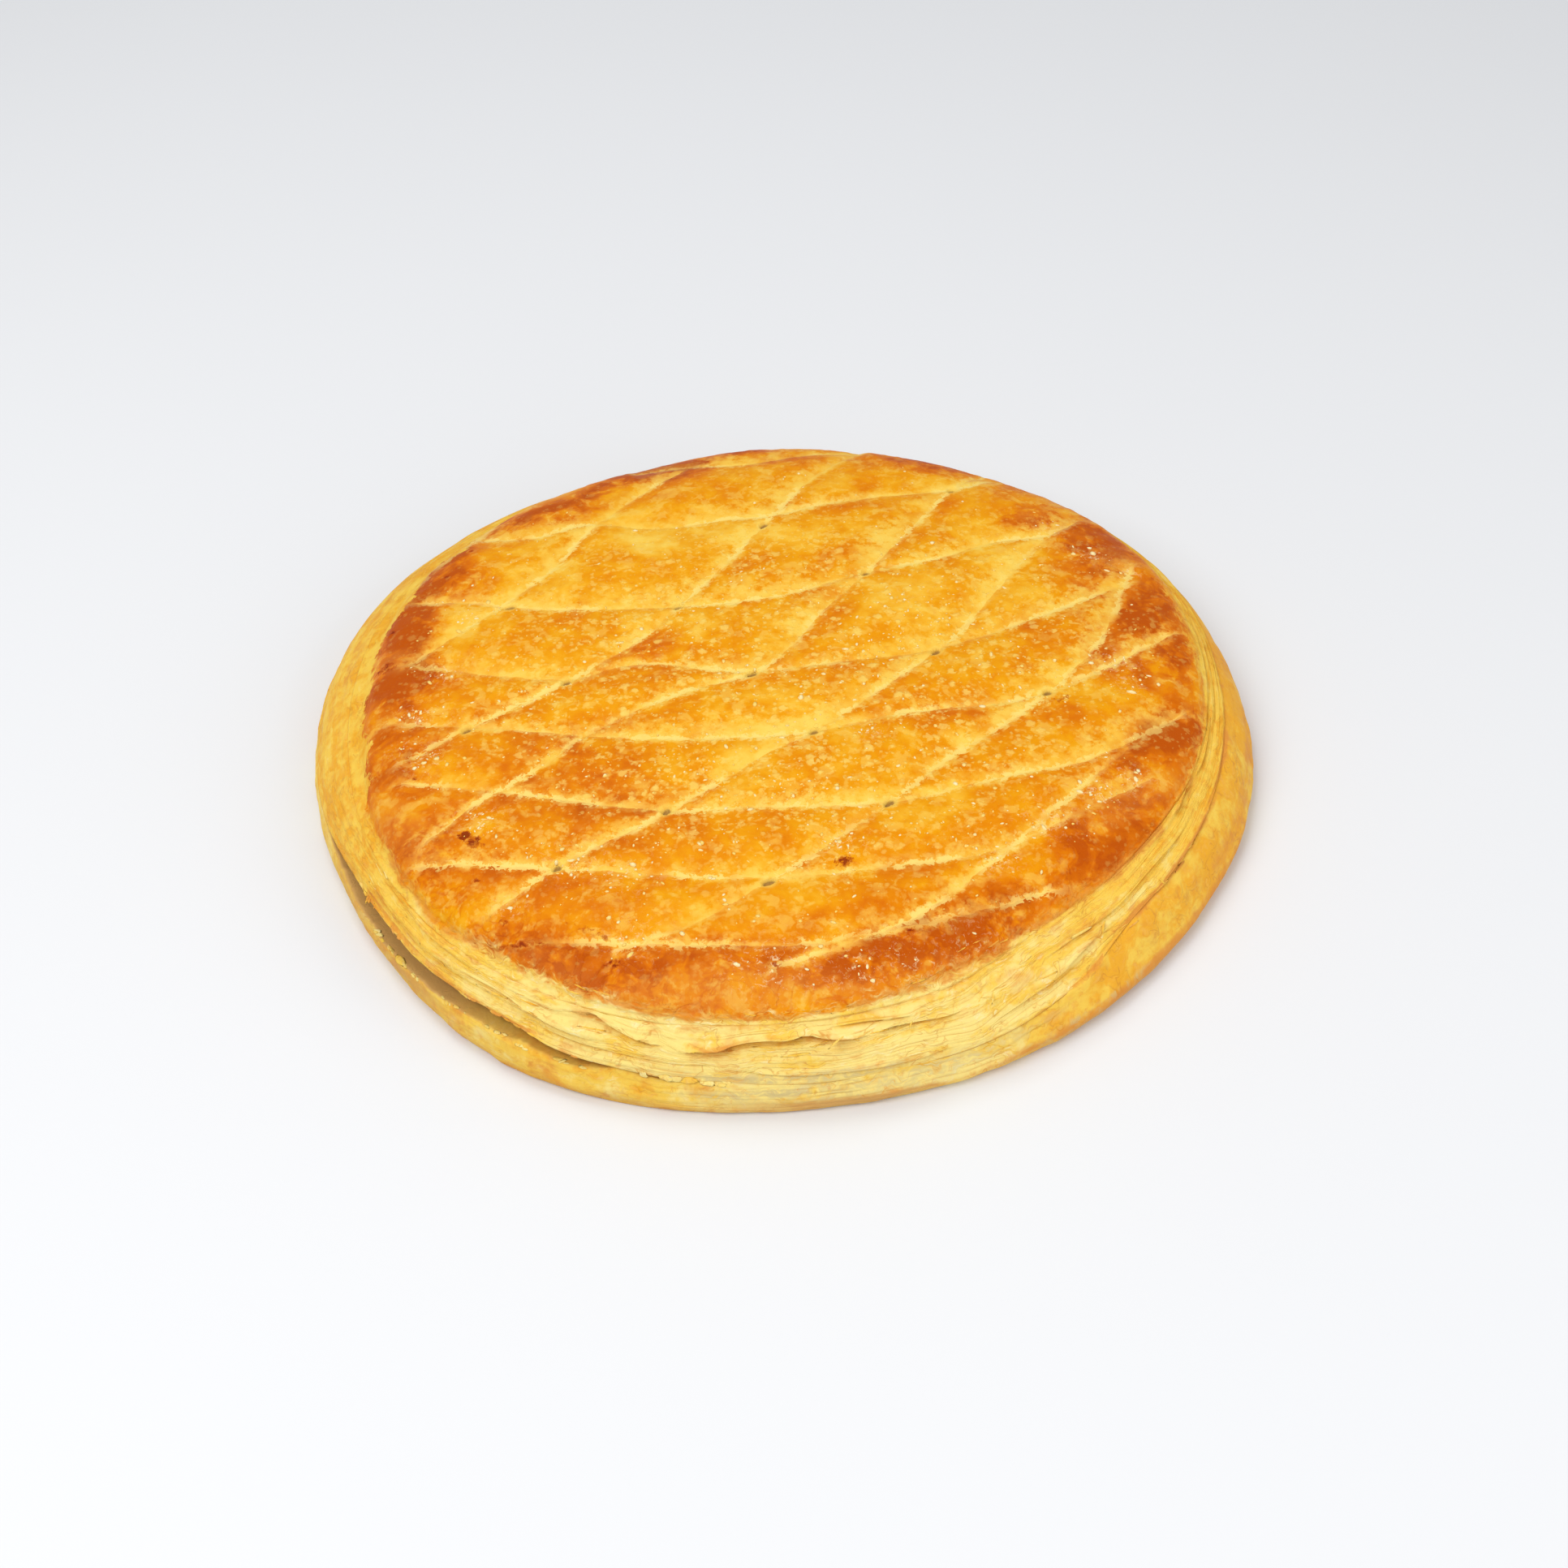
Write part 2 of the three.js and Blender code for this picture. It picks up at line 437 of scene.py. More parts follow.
# Where the oven browned the lid most, and where it stayed light.
BROWNED = each(
    Patch,
    (-92, 52, 13, 8, 60, 0.85), (-97, 29, 11, 9, 80, 1), (-95, 5, 10, 9, 90, 0.75),
    (-96, -14, 6, 5, 0, 0.6), (-90, -28, 12, 7, 80, 0.5), (-80, -46, 10, 6, 60, 0.3),
    (-62, 82, 22, 7, 30, 0.55), (-32, 100, 16, 6, 12, 0.5), (-8, 108, 14, 5, 0, 0.6),
    (6, 96, 10, 5, 0, 0.45), (46, 96, 12, 9, -30, 0.5), (73, 62, 9, 7, 20, 0.8), (88, 51, 13, 8, -50, 0.85),
    (90, 40, 8, 8, 0, 0.4), (99, 20, 12, 7, 70, 0.85), (97, 13, 5, 4, 0, 0.5), (100, -3, 12, 6, 60, 0.75),
    (103, -14, 8, 4, 70, 0.7), (94, -32, 22, 6, 48, 1), (82, -45, 12, 5, 40, 0.8),
    (76, -62, 22, 7, 42, 0.85), (55, -77, 18, 5, 38, 0.55), (24, -97, 26, 5.5, 16, 0.95),
    (-18, -98, 24, 5, -3, 0.7), (-50, -93, 16, 6, -25, 0.5), (-66, -82, 8, 8, 0, 0.35),
    (-74, -70, 12, 7, -40, 0.35), (-52, -23, 12, 6, 30, 0.5), (-44, -33, 11, 8, 0, 0.4),
    (-75, -28, 12, 8, 0, 0.22), (-33, 9, 13, 5, 35, 0.4), (23, 14, 11, 9, 0, 0.25),
    (50, -11, 14, 6, 20, 0.25), (75, -22, 10, 6, 30, 0.3), (82, -8, 12, 5, 50, 0.3),
    (62, 68, 14, 8, 20, 0.3), (-45, 90, 16, 6, 30, 0.25), (-2, 45, 9, 7, 0, 0.2),
    (-15, -62, 20, 7, 0, 0.15), (45, -62, 16, 6, 15, 0.15), (-30, -82, 20, 5, 10, 0.25),
    (10, -84, 20, 5, 0, 0.3),
)
LIGHT = each(
    Patch,
    (-81, 33, 9, 6, 0, 0.9), (93, 28, 10, 4, 60, 0.8), (-66, 66, 14, 4, 0, 0.5), (-10, 97, 9, 3, 0, 0.6),
    (15, 101, 14, 3, 0, 0.35), (52, 80, 7, 4, 30, 0.35), (62, 46, 12, 8, 40, 0.3), (35, 14, 10, 6, 0, 0.35),
    (-62, 46, 20, 7, 48, 0.3), (0, -32, 30, 6, 5, 0.3), (-5, 57, 38, 11, 0, 0.85), (84, -12, 8, 6, 0, 0.3),
)
# Broad stretches where the glaze is a little darker than in the middle.
TINTED = each(
    Patch,
    (-62, -42, 52, 36, 0, 0.12), (-20, -88, 60, 14, 0, 0.1), (-37, 5, 19, 10, 0, 0.21),
    (-61, 74, 22, 9, 32, 0.36), (-63, 87, 14, 6, 30, -0.32), (-82, 44, 9, 9, 20, 0.46),
    (-31, 96, 17, 9, 0, 0.34), (-4, 100, 20, 6, 0, 0.22), (14, 88, 9, 7, 0, 0.12),
    (50, 92, 12, 8, -20, 0.12), (70, 58, 8, 7, 0, 0.15), (86, 34, 11, 13, 0, 0.22),
    (91, 4, 12, 17, 0, 0.22), (84, -33, 9, 12, 0, 0.16), (42, -20, 12, 9, 0, 0.12),
    (42, -86, 14, 7, 20, 0.14), (-95, 12, 8, 20, 0, 0.22), (-88, -56, 14, 12, -45, 0.14),
    (-60, 16, 18, 8, 10, 0.13), (-50, -44, 18, 8, 0, 0.1), (-10, -62, 12, 9, 0, 0.12),
    (-48, 52, 18, 9, 45, -0.12), (-62, -18, 14, 8, 45, -0.19), (-98, -40, 8, 8, 0, -0.14),
    (32, -54, 15, 8, 5, -0.22), (14, -82, 18, 7, 0, -0.12), (14, -108, 20, 6, 8, -0.12),
    (-72, -76, 18, 9, -40, -0.13), (-14, 58, 30, 8, 0, -0.09), (72, -12, 7, 7, 0, -0.12),
    (89, 47, 13, 9, -50, 0.14),
)
BURNT = each(
    Patch,
    (-75, -57, 3.6, 1.7, -45, 1), (-77, -55, 1.6, 1.2, 0, 0.9), (14, -72, 2.6, 1.6, 10, 0.75),
    (-103, 13, 3.2, 2.2, -30, 0.7), (-40, -97, 3, 1.1, 10, 0.7), (-62, -88, 5, 0.7, -8, 0.6),
    (-46, -88, 6, 0.9, -30, 0.4), (72, -18, 2.4, 1.4, 30, 0.45), (-66, -82, 1.4, 0.9, -40, 0.7),
    (-73, -69, 0.9, 0.7, 0, 0.8), (-92, 60, 0.9, 0.8, 0, 0.7), (-89, 49, 0.8, 0.9, 0, 0.6),
    (-101, 36, 1.4, 0.6, -50, 0.8), (-102.5, 29, 0.9, 1.6, 20, 0.9), (-95, 34, 0.7, 0.7, 0, 0.6),
    (101, 38, 0.6, 1.6, 0, 0.6), (97, 21, 0.8, 0.8, 0, 0.5), (28, -93, 1, 0.7, 0, 0.6),
    (-3, -101, 1.2, 0.7, 0, 0.5), (103, 34, 0.7, 0.7, 0, 0.5), (-91, -33, 0.8, 0.7, 0, 0.5),
    (-83, 60, 0.6, 0.9, 0, 0.5),
)
# Rosy tan on the browned rim, partly its own colour and partly a painted sheen.
ROSY_AND_SHEEN = each(
    Patch,
    (-18, -106, 30, 5, 0, 0.8), (-94, -47, 14, 5, -50, 0.7), (-102, 15, 7, 5, 0, 0.6),
    (85, -52, 16, 4, 40, 0.6), (94, 42, 6, 5, 60, 0.6), (74, 61, 4, 4, 0, 0.5), (30, -103, 20, 4, 16, 0.4),
    (-55, -97, 12, 5, -30, 0.5),
)
RIM_BROWN = around(
    (0, 0.6), (18, 0.76), (35, 0.95), (50, 0.78), (70, 0.5), (95, 0.55), (125, 0.5), (140, 0.65),
    (152, 0.95), (165, 0.97), (180, 0.8), (200, 0.72), (215, 0.47), (225, 0.42), (240, 0.6), (258, 0.75),
    (275, 0.68), (295, 0.58), (320, 0.52), (340, 0.5),
)


@dataclass(frozen=True)
class Ledge:
    """A leaf that has lifted off the side: its edge runs through points of angle and fall."""

    points: tuple[tuple[float, float], ...]
    depth: float
    reach: float
    lip: float

    def relief(self, angle: Array, fall: Array) -> tuple[Array, Array]:
        """How the ledge shapes the side.

        Args:
            angle: Angles in degrees.
            fall: Place down the side.

        Returns:
            Height in millimetres, negative in the hollow, and how deep in shadow each point is.
        """
        first, last = self.points[0][0], self.points[-1][0]
        middle = (first + last) / 2
        near = middle + turn_gap(angle, middle)
        curve = Stations(self.points)
        below = (fall - curve.at(np.clip(near, first, last))) * SIDE_LENGTH
        half = (last - first) / 2
        ends = smooth(np.abs(near - middle), half, half * 0.55)
        hollow = np.where(below > 0, np.exp(-np.maximum(below, 0) / self.reach), 0.0)
        hood = np.where(below <= 0, np.exp(np.minimum(below, 0) / 1.6), 0.0)
        return ends * (self.lip * hood - self.depth * hollow), ends * hollow ** 2


LEDGES = each(
    Ledge,
    (((232, 0.12), (234, 0.145), (236, 0.16), (238, 0.165), (239.5, 0.2)), 0.8, 1.2, 0.5),
    (
        (
            (243, 0.27), (245, 0.25), (246.7, 0.22), (248.5, 0.27), (251, 0.34), (254, 0.39), (256, 0.38),
        ),
        1.7, 1.5, 0.9,
    ),
    (
        (
            (256.5, 0.455), (259, 0.43), (261.5, 0.4), (264, 0.315), (267, 0.29), (269, 0.3),
            (271.5, 0.275), (273.5, 0.325), (276, 0.37), (279, 0.37),
        ),
        3, 1.9, 1.3,
    ),
    (((279, 0.36), (281.5, 0.345), (284, 0.36), (287, 0.39), (290, 0.4)), 1.1, 1.3, 0.6),
    (((274, 0.215), (278, 0.225), (281, 0.26), (284.5, 0.3)), 0.8, 1.2, 0.5),
    (((262, 0.6), (268, 0.66), (275, 0.69), (283, 0.7), (289, 0.685)), 0.8, 1, 0.4),
    (((227, 0.42), (231, 0.385), (235, 0.375), (239, 0.42), (244, 0.47), (248, 0.49)), 0.9, 1.4, 0.5),
    (((238, 0.49), (244, 0.53), (250, 0.54), (256, 0.56), (262, 0.57)), 0.7, 1.1, 0.4),
    (((207, 0.44), (213, 0.46), (219, 0.44), (226, 0.47)), 0.8, 1.4, 0.5),
    (((209, 0.3), (216, 0.28), (223, 0.31), (228, 0.3)), 0.6, 1.2, 0.4),
    (((293, 0.6), (297, 0.55), (302, 0.51), (307, 0.43), (311, 0.385)), 0.6, 1.7, 0.45),
    (((300, 0.32), (307, 0.3), (314, 0.31), (322, 0.27), (332, 0.28)), 0.5, 1.6, 0.35),
    (((331, 0.13), (333.5, 0.12), (336, 0.1), (338.5, 0.13)), 1.3, 1, 0.6),
    (((339, 0.13), (342, 0.145), (347, 0.14), (352, 0.15)), 0.8, 1.2, 0.4),
    (((18, 0.2), (28, 0.18), (40, 0.22), (52, 0.25)), 1.3, 1.8, 0.7),
    (((58, 0.42), (68, 0.4), (80, 0.38), (88, 0.4)), 1, 1.6, 0.6),
    (((84, 0.28), (94, 0.25), (106, 0.27), (116, 0.32)), 1.5, 1.8, 0.8),
    (((118, 0.46), (128, 0.42), (140, 0.45)), 1, 1.5, 0.6),
    (((160, 0.5), (170, 0.55), (182, 0.6), (190, 0.62)), 0.4, 2, 0.3),
)
# Where the glaze ends, as a place past the rim, in millimetres, and how wide it fades there.
GLAZE_EDGE = around(
    (0, -1.5, 1.8), (20, -0.5, 1.8), (45, 0.5, 1.6), (70, 0.5, 1.6), (95, 0.5, 1.6), (120, 0.3, 1.4),
    (137, 0, 0.5), (141.5, -3, 0.4), (145, -5.5, 0.4), (146.7, -1.5, 0.3), (149, 0, 0.4), (152, -1, 0.4),
    (156, -2.8, 0.4), (159, -2, 0.4), (161.5, 0, 0.3), (165, 1.7, 0.4), (169, 1.6, 0.4), (174, 0.6, 0.6),
    (180, 1.3, 0.5), (185, 0.4, 0.6), (188.7, -1.6, 0.4), (191, 0.8, 0.5), (194, 0.6, 0.5),
    (195.6, -1.4, 0.4), (197, 2.4, 0.7), (201, 3.2, 1), (205, 1.9, 1.6), (209, 1, 2.2), (213, 2.4, 2.6),
    (217, 1.6, 2.6), (221, 2.6, 3), (225, 3, 3), (228, 1.4, 2.6), (233, 0.9, 2), (240, 1.2, 1.4),
    (247, 0.6, 1.4), (256, 1, 1.8), (264, 0.2, 1.6), (272, 1, 1.4), (280, 0.2, 1.2), (290, 0.6, 1.5),
    (296, 0.8, 2), (304, 1, 2.6), (312, 1.6, 2.8), (320, 2.2, 2.8), (330, 1.8, 2.4), (340, 1.4, 2),
    (352, 0.8, 1.6),
)
# Where the lid's edge turns under, as a place down the side, and how far it stands off there.
LIP = around(
    (0, 0.1, 0.4), (20, 0.14, 0.5), (50, 0.2, 0.7), (90, 0.17, 0.6), (120, 0.2, 0.5), (150, 0.22, 0.1),
    (180, 0.25, 0.1), (205, 0.25, 0.15), (225, 0.22, 0.15), (240, 0.19, 0.12), (255, 0.15, 0.12),
    (268, 0.11, 0.15), (275, 0.105, 0.15), (282, 0.125, 0.25), (290, 0.145, 0.3), (296, 0.11, 0.35),
    (305, 0.085, 0.3), (315, 0.085, 0.3), (325, 0.06, 0.25), (340, 0.075, 0.3),
)
# The seam over the bottom sheet: place down the side, how wide it gapes, and how deep it goes.
SEAM = around(
    (0, 0.31, 0.3, 1.4), (16, 0.4, 0.3, 1.4), (40, 0.55, 0.35, 1.5), (70, 0.68, 0.5, 2), (92, 0.72, 0.5, 2),
    (112, 0.71, 0.4, 2), (132, 0.78, 0.35, 1.5), (152, 0.88, 0.3, 1.5), (172, 0.9, 0.3, 1.5),
    (184, 0.88, 0.4, 2), (191, 0.84, 0.6, 3), (198, 0.81, 2.4, 3), (205, 0.785, 5, 5), (211, 0.77, 6.2, 6),
    (216, 0.76, 6.7, 7), (221, 0.755, 5.6, 7), (226, 0.72, 5.3, 7), (232, 0.695, 4.8, 6),
    (238, 0.685, 4.2, 6), (242, 0.725, 3.4, 6), (246, 0.74, 2.6, 6), (250, 0.71, 1.2, 6),
    (254, 0.735, 1.1, 6), (258, 0.755, 0.6, 3), (262, 0.76, 0.4, 1.6), (268, 0.785, 0.25, 1.2),
    (276, 0.8, 0.2, 1), (283, 0.785, 0.2, 1), (290, 0.77, 0.2, 1), (296, 0.73, 0.2, 1.2),
    (302, 0.68, 0.3, 1.6), (307, 0.63, 0.3, 1.6), (311, 0.54, 0.3, 1.5), (315, 0.485, 0.3, 1.4),
    (321, 0.455, 0.3, 1.4), (329, 0.425, 0.3, 1.4), (338, 0.38, 0.3, 1.4), (348, 0.34, 0.3, 1.5),
)
# How clearly the leaves show round the side, and how the side is coloured: 0 cream, 1 gold, 2 amber.
LEAFINESS = around(
    (0, 0.6), (30, 0.8), (60, 0.9), (90, 1), (120, 0.8), (142, 0.4), (165, 0.25), (190, 0.4), (205, 0.65),
    (232, 0.75), (262, 0.85), (285, 0.9), (305, 0.8), (320, 0.75), (338, 0.6),
)
SIDE_TONE = around(
    (0, 1.3), (30, 1.5), (70, 1.6), (110, 1.55), (150, 1.5), (175, 1.4), (195, 1.4), (213, 1.25),
    (230, 0.8), (245, 0.3), (262, 0.35), (275, 0.3), (290, 0.5), (305, 0.85), (322, 1.2), (342, 1.35),
)


@dataclass(frozen=True)
class SidePatch:
    """A soft-edged oval on the side: its middle and half sizes as angle and fall."""

    angle: float
    fall: float
    wide: float
    tall: float
    strength: float

    def weigh(self, degrees: Array, fall: Array) -> Array:
        """Strength of the patch at angles in degrees and places down the side."""
        far = (turn_gap(degrees, self.angle) / self.wide) ** 2 + ((fall - self.fall) / self.tall) ** 2
        return self.strength * smooth(far, 1.7, 0.2)


def weigh(patches: tuple[Patch | SidePatch, ...], first: Array, second: Array) -> Array:
    """Add up patches at x and y, or at angles in degrees and places down the side."""
    return sum(patch.weigh(first, second) for patch in patches)


TOASTED = each(
    SidePatch,
    (303, -0.03, 14, 0.1, 0.55), (320, -0.02, 14, 0.1, 0.6), (287, 0.03, 9, 0.05, 0.45),
    (270, 0.03, 9, 0.04, 0.3), (318, 0.06, 14, 0.05, 0.5), (345, 0, 16, 0.06, 0.3),
    (262, 0.38, 5, 0.05, 0.35), (272, 0.36, 4, 0.05, 0.35), (309, 0.3, 6, 0.05, 0.3),
    (222, 0.585, 20, 0.03, 0.45), (243, 0.6, 6, 0.03, 0.35), (223, 0.1, 6, 0.07, 0.5),
    (213, 0.1, 4, 0.06, 0.4), (256, 0.05, 8, 0.05, 0.5), (246, 0.06, 4, 0.04, 0.35),
    (232, 0.22, 10, 0.05, 0.25), (320, 0.455, 9, 0.035, 0.55), (333, 0.41, 9, 0.03, 0.5),
    (348, 0.35, 12, 0.03, 0.4), (311, 0.42, 7, 0.06, 0.3), (345, 0.8, 16, 0.12, 0.4),
    (318, 1, 26, 0.07, 0.6), (278, 1.03, 9, 0.05, 0.5), (325, 0.12, 16, 0.03, 0.4),
    (293, 0.1, 8, 0.03, 0.35), (212, 0.5, 9, 0.05, 0.3), (160, 0.35, 16, 0.08, 0.3),
)
# Greyer patches on the side: floury crust on the foot, and painted shade in the band under the front ledge.
GREYED = each(
    SidePatch,
    (272, 0.71, 14, 0.06, 0.8), (276, 0.9, 16, 0.12, 0.55), (257, 0.68, 8, 0.05, 0.3),
    (250, 0.1, 10, 0.05, 0.25), (292, 0.8, 10, 0.08, 0.4), (264, 0.88, 8, 0.05, 0.4),
    (307, 1.02, 13, 0.1, 0.9),
)
SHADED = each(
    SidePatch,
    (213, 0.9, 13, 0.14, 0.4), (198, 0.95, 9, 0.2, 0.2), (258, 1.1, 26, 0.14, 0.7),
    (228, 1, 12, 0.12, 0.35), (279, 1.04, 7, 0.05, 0.5), (311, 1.09, 13, 0.06, 0.6),
)
CREAMED = each(
    SidePatch,
    (277, 0.3, 4, 0.06, 1), (277, 0.64, 4, 0.05, 0.8), (260, 0.14, 3, 0.05, 0.7), (254, 0.18, 3, 0.06, 0.6),
    (298, 0.6, 6, 0.07, 0.8), (252, 0.28, 6, 0.08, 0.5), (285, 0.55, 10, 0.1, 0.6),
    (242, 0.36, 8, 0.1, 0.5), (305, 0.44, 6, 0.06, 0.5), (262, 0.55, 8, 0.08, 0.5),
    (284, 0.92, 8, 0.1, 0.9), (316, 0.36, 6, 0.05, 0.4),
)


@dataclass(frozen=True)
class LeafStack:
    """Leaves of puff pastry seen edge-on, one under another, right round the pie."""

    count: int
    seed: int
    pinch: float
    wander: float
    crease: float
    swell: float = 0.10
    places: tuple[float, ...] = (0.0, 0.17, 0.5, 0.83)

    def borders(self, angle: Array) -> Array:
        """Share the height out among the leaves, so that they thin and thicken as they run.

        Args:
            angle: Angles in radians, one for each column.

        Returns:
            For each border between leaves and each column a share from 0, on top, to 1.
        """
        grain = Grain(self.seed)
        x, y = np.cos(angle) * SIDE_REACH, np.sin(angle) * SIDE_REACH
        thick = [
            np.exp(self.pinch * grain.layered(x / 34, y / 34, leaf * 3.7, 3)) for leaf in range(self.count)
        ]
        running = np.vstack([np.zeros_like(x), np.cumsum(thick, axis=0)])
        return running / running[-1]

    def relief(self, angle: Array, leafiness: Array) -> tuple[Array, Array, Array]:
        """Work out how far the rows of every leaf stand out.

        Args:
            angle: Angles in radians, one for each column.
            leafiness: How clearly the leaves part, for each column.

        Returns:
            For each row and column the height in millimetres, how deep in a crease it is, and the
            leaf it belongs to.
        """
        grain = Grain(self.seed + 1)
        x, y = np.cos(angle) * SIDE_REACH, np.sin(angle) * SIDE_REACH
        stand = np.array(
            [self.wander * grain.layered(x / 22, y / 22, leaf * 5.1, 3) for leaf in range(self.count)]
        )
        rough = np.array([grain.layered(x / 16, y / 16, 40 + leaf * 4.3, 3) for leaf in range(self.count)])
        parting = smooth(rough, 0.0, 0.5)
        height, deep, leaf_of = [], [], []
        for leaf in range(self.count):
            above = stand[max(leaf - 1, 0)]
            for place in self.places:
                if place == 0.0:
                    # The row on the border between leaves dips into the crease, and deep gives it painted
                    # shade there.
                    height.append(np.minimum(above, stand[leaf]) - self.crease * (0.1 + parting[leaf]))
                    deep.append(0.08 + 0.8 * parting[leaf])
                else:
                    height.append(stand[leaf] + self.swell * (1 - abs(2 * place - 1) * 1.6))
                    deep.append(np.zeros_like(x))
                leaf_of.append(np.full_like(x, leaf + place))
        return np.array(height) * leafiness, np.array(deep) * leafiness, np.array(leaf_of)

    def rows(self, borders: Array, angle: Array, leafiness: Array) -> tuple[Array, Array, Array, Array]:
        """Lay rows of vertices down every leaf.

        Args:
            borders: Places down the side of the borders between leaves, a row each.
            angle: Angles in radians, one for each column.
            leafiness: How clearly the leaves part, for each column.

        Returns:
            For each row and column the place down the side, the height, the crease and the leaf.
        """
        relief = self.relief(angle, leafiness)
        fall = [
            above * (1 - place) + below * place
            for above, below in zip(borders[:-1], borders[1:])
            for place in self.places
        ]
        fall = np.array([*fall, borders[-1]])
        ends = (0, 0, self.count)
        return fall, *(np.vstack([table, 0 * angle + end]) for table, end in zip(relief, ends))


class Workbench:
    """Plain modelling steps on one piece at a time."""

    @staticmethod
    def pick(piece: Piece) -> None:
        """Make one piece the only selected one."""
        bpy.ops.object.select_all(action="DESELECT")
        piece.select_set(True)
        bpy.context.view_layer.objects.active = piece

    @staticmethod
    def corners(piece: Piece) -> Array:
        """Read a piece's vertices, one row of x, y, z for each."""
        found = np.empty(len(piece.data.vertices) * 3)
        piece.data.vertices.foreach_get("co", found)
        return found.reshape(-1, 3)

    @staticmethod
    def shape(piece: Piece, corners: Array) -> None:
        """Move a piece's vertices, one row of x, y, z for each."""
        piece.data.vertices.foreach_set("co", np.ascontiguousarray(corners, float).ravel())
        piece.data.update()

    @staticmethod
    def normals(piece: Piece) -> Array:
        """Read which way a piece's vertices face, one row for each."""
        found = np.empty(len(piece.data.vertices) * 3)
        piece.data.vertices.foreach_get("normal", found)
        return found.reshape(-1, 3)

    @staticmethod
    def note(piece: Piece, notes: dict[str, Array]) -> None:
        """Write numbers at the vertices for the finish to read.

        Args:
            piece: A mesh object.
            notes: For each attribute's name a number for each vertex.
        """
        for name, values in notes.items():
            layer = piece.data.attributes.new(name, "FLOAT", "POINT")
            layer.data.foreach_set("value", np.ascontiguousarray(values, dtype=np.float32).ravel())

    @staticmethod
    def added(name: str) -> Piece:
        """Name the primitive that was just added, and return it."""
        piece = bpy.context.object
        piece.name = piece.data.name = name
        return piece

    @staticmethod
    def finder(points: Array, which: Array) -> KDTree:
        """Sort points for finding the nearest.

        Args:
            points: Rows of x, y, z.
            which: The rows to sort.

        Returns:
            The sorted tree, which finds a row's number.
        """
        tree = KDTree(len(which))
        for index in which:
            tree.insert(points[index], int(index))
        tree.balance()
        return tree

    @staticmethod
    def refill(piece: Piece, corners: Array, faces: list[list[int]]) -> None:
        """Replace a piece's shape: its vertices, given in millimetres, and its faces."""
        piece.data.clear_geometry()
        piece.data.from_pydata((corners * METRES).tolist(), [], faces)

    @staticmethod
    def choose(piece: Piece, kind: str, which: Array) -> None:
        """Enter edit mode with only some of the active piece's vertices or faces selected.

        Args:
            piece: The active piece.
            kind: VERT or FACE.
            which: For each of them whether it is selected.
        """
        bpy.ops.object.mode_set(mode="EDIT")
        bpy.ops.mesh.select_mode(type=kind)
        bpy.ops.mesh.select_all(action="DESELECT")
        bpy.ops.object.mode_set(mode="OBJECT")
        parts = piece.data.vertices if kind == "VERT" else piece.data.polygons
        parts.foreach_set("select", which)
        bpy.ops.object.mode_set(mode="EDIT")

    @classmethod
    def ring(cls, name: str, rows: int, steps: int) -> Piece:
        """Spin a straight line of vertices once round into a flat ring.

        Args:
            name: The piece's name.
            rows: Vertices along the line.
            steps: Columns round the ring.

        Returns:
            The ring; row n of it lies n + 1 units from the axis.
        """
        bpy.ops.object.select_all(action="DESELECT")
        bpy.ops.mesh.primitive_grid_add(x_subdivisions=rows - 1, y_subdivisions=1, size=2)
        piece = cls.added(name)
        flat = cls.corners(piece)
        order = np.rint((flat[:, 0] + 1) / 2 * (rows - 1))
        back = flat[:, 1] > 0
        cls.shape(piece, np.stack([order + 1, np.where(back, 1.0, 0.0), np.zeros(len(flat))], 1))
        cls.choose(piece, "VERT", back)
        bpy.ops.mesh.delete(type="VERT")
        bpy.ops.mesh.select_all(action="SELECT")
        bpy.ops.mesh.spin(steps=steps, angle=TURN, center=(0, 0, 0), axis=(0, 0, 1))
        bpy.ops.mesh.select_all(action="SELECT")
        bpy.ops.mesh.remove_doubles(threshold=1e-3)
        bpy.ops.object.mode_set(mode="OBJECT")
        return piece

    @classmethod
    def close(cls, piece: Piece, threshold: float = 1e-6) -> None:
        """Merge vertices that meet, turn the faces outwards and shade them smoothly.

        Args:
            piece: A mesh object, already in metres.
            threshold: How near vertices are merged, in metres.
        """
        cls.pick(piece)
        bpy.ops.object.mode_set(mode="EDIT")
        bpy.ops.mesh.select_all(action="SELECT")
        bpy.ops.mesh.remove_doubles(threshold=threshold)
        bpy.ops.mesh.normals_make_consistent(inside=False)
        bpy.ops.object.mode_set(mode="OBJECT")
        bpy.ops.object.shade_smooth()


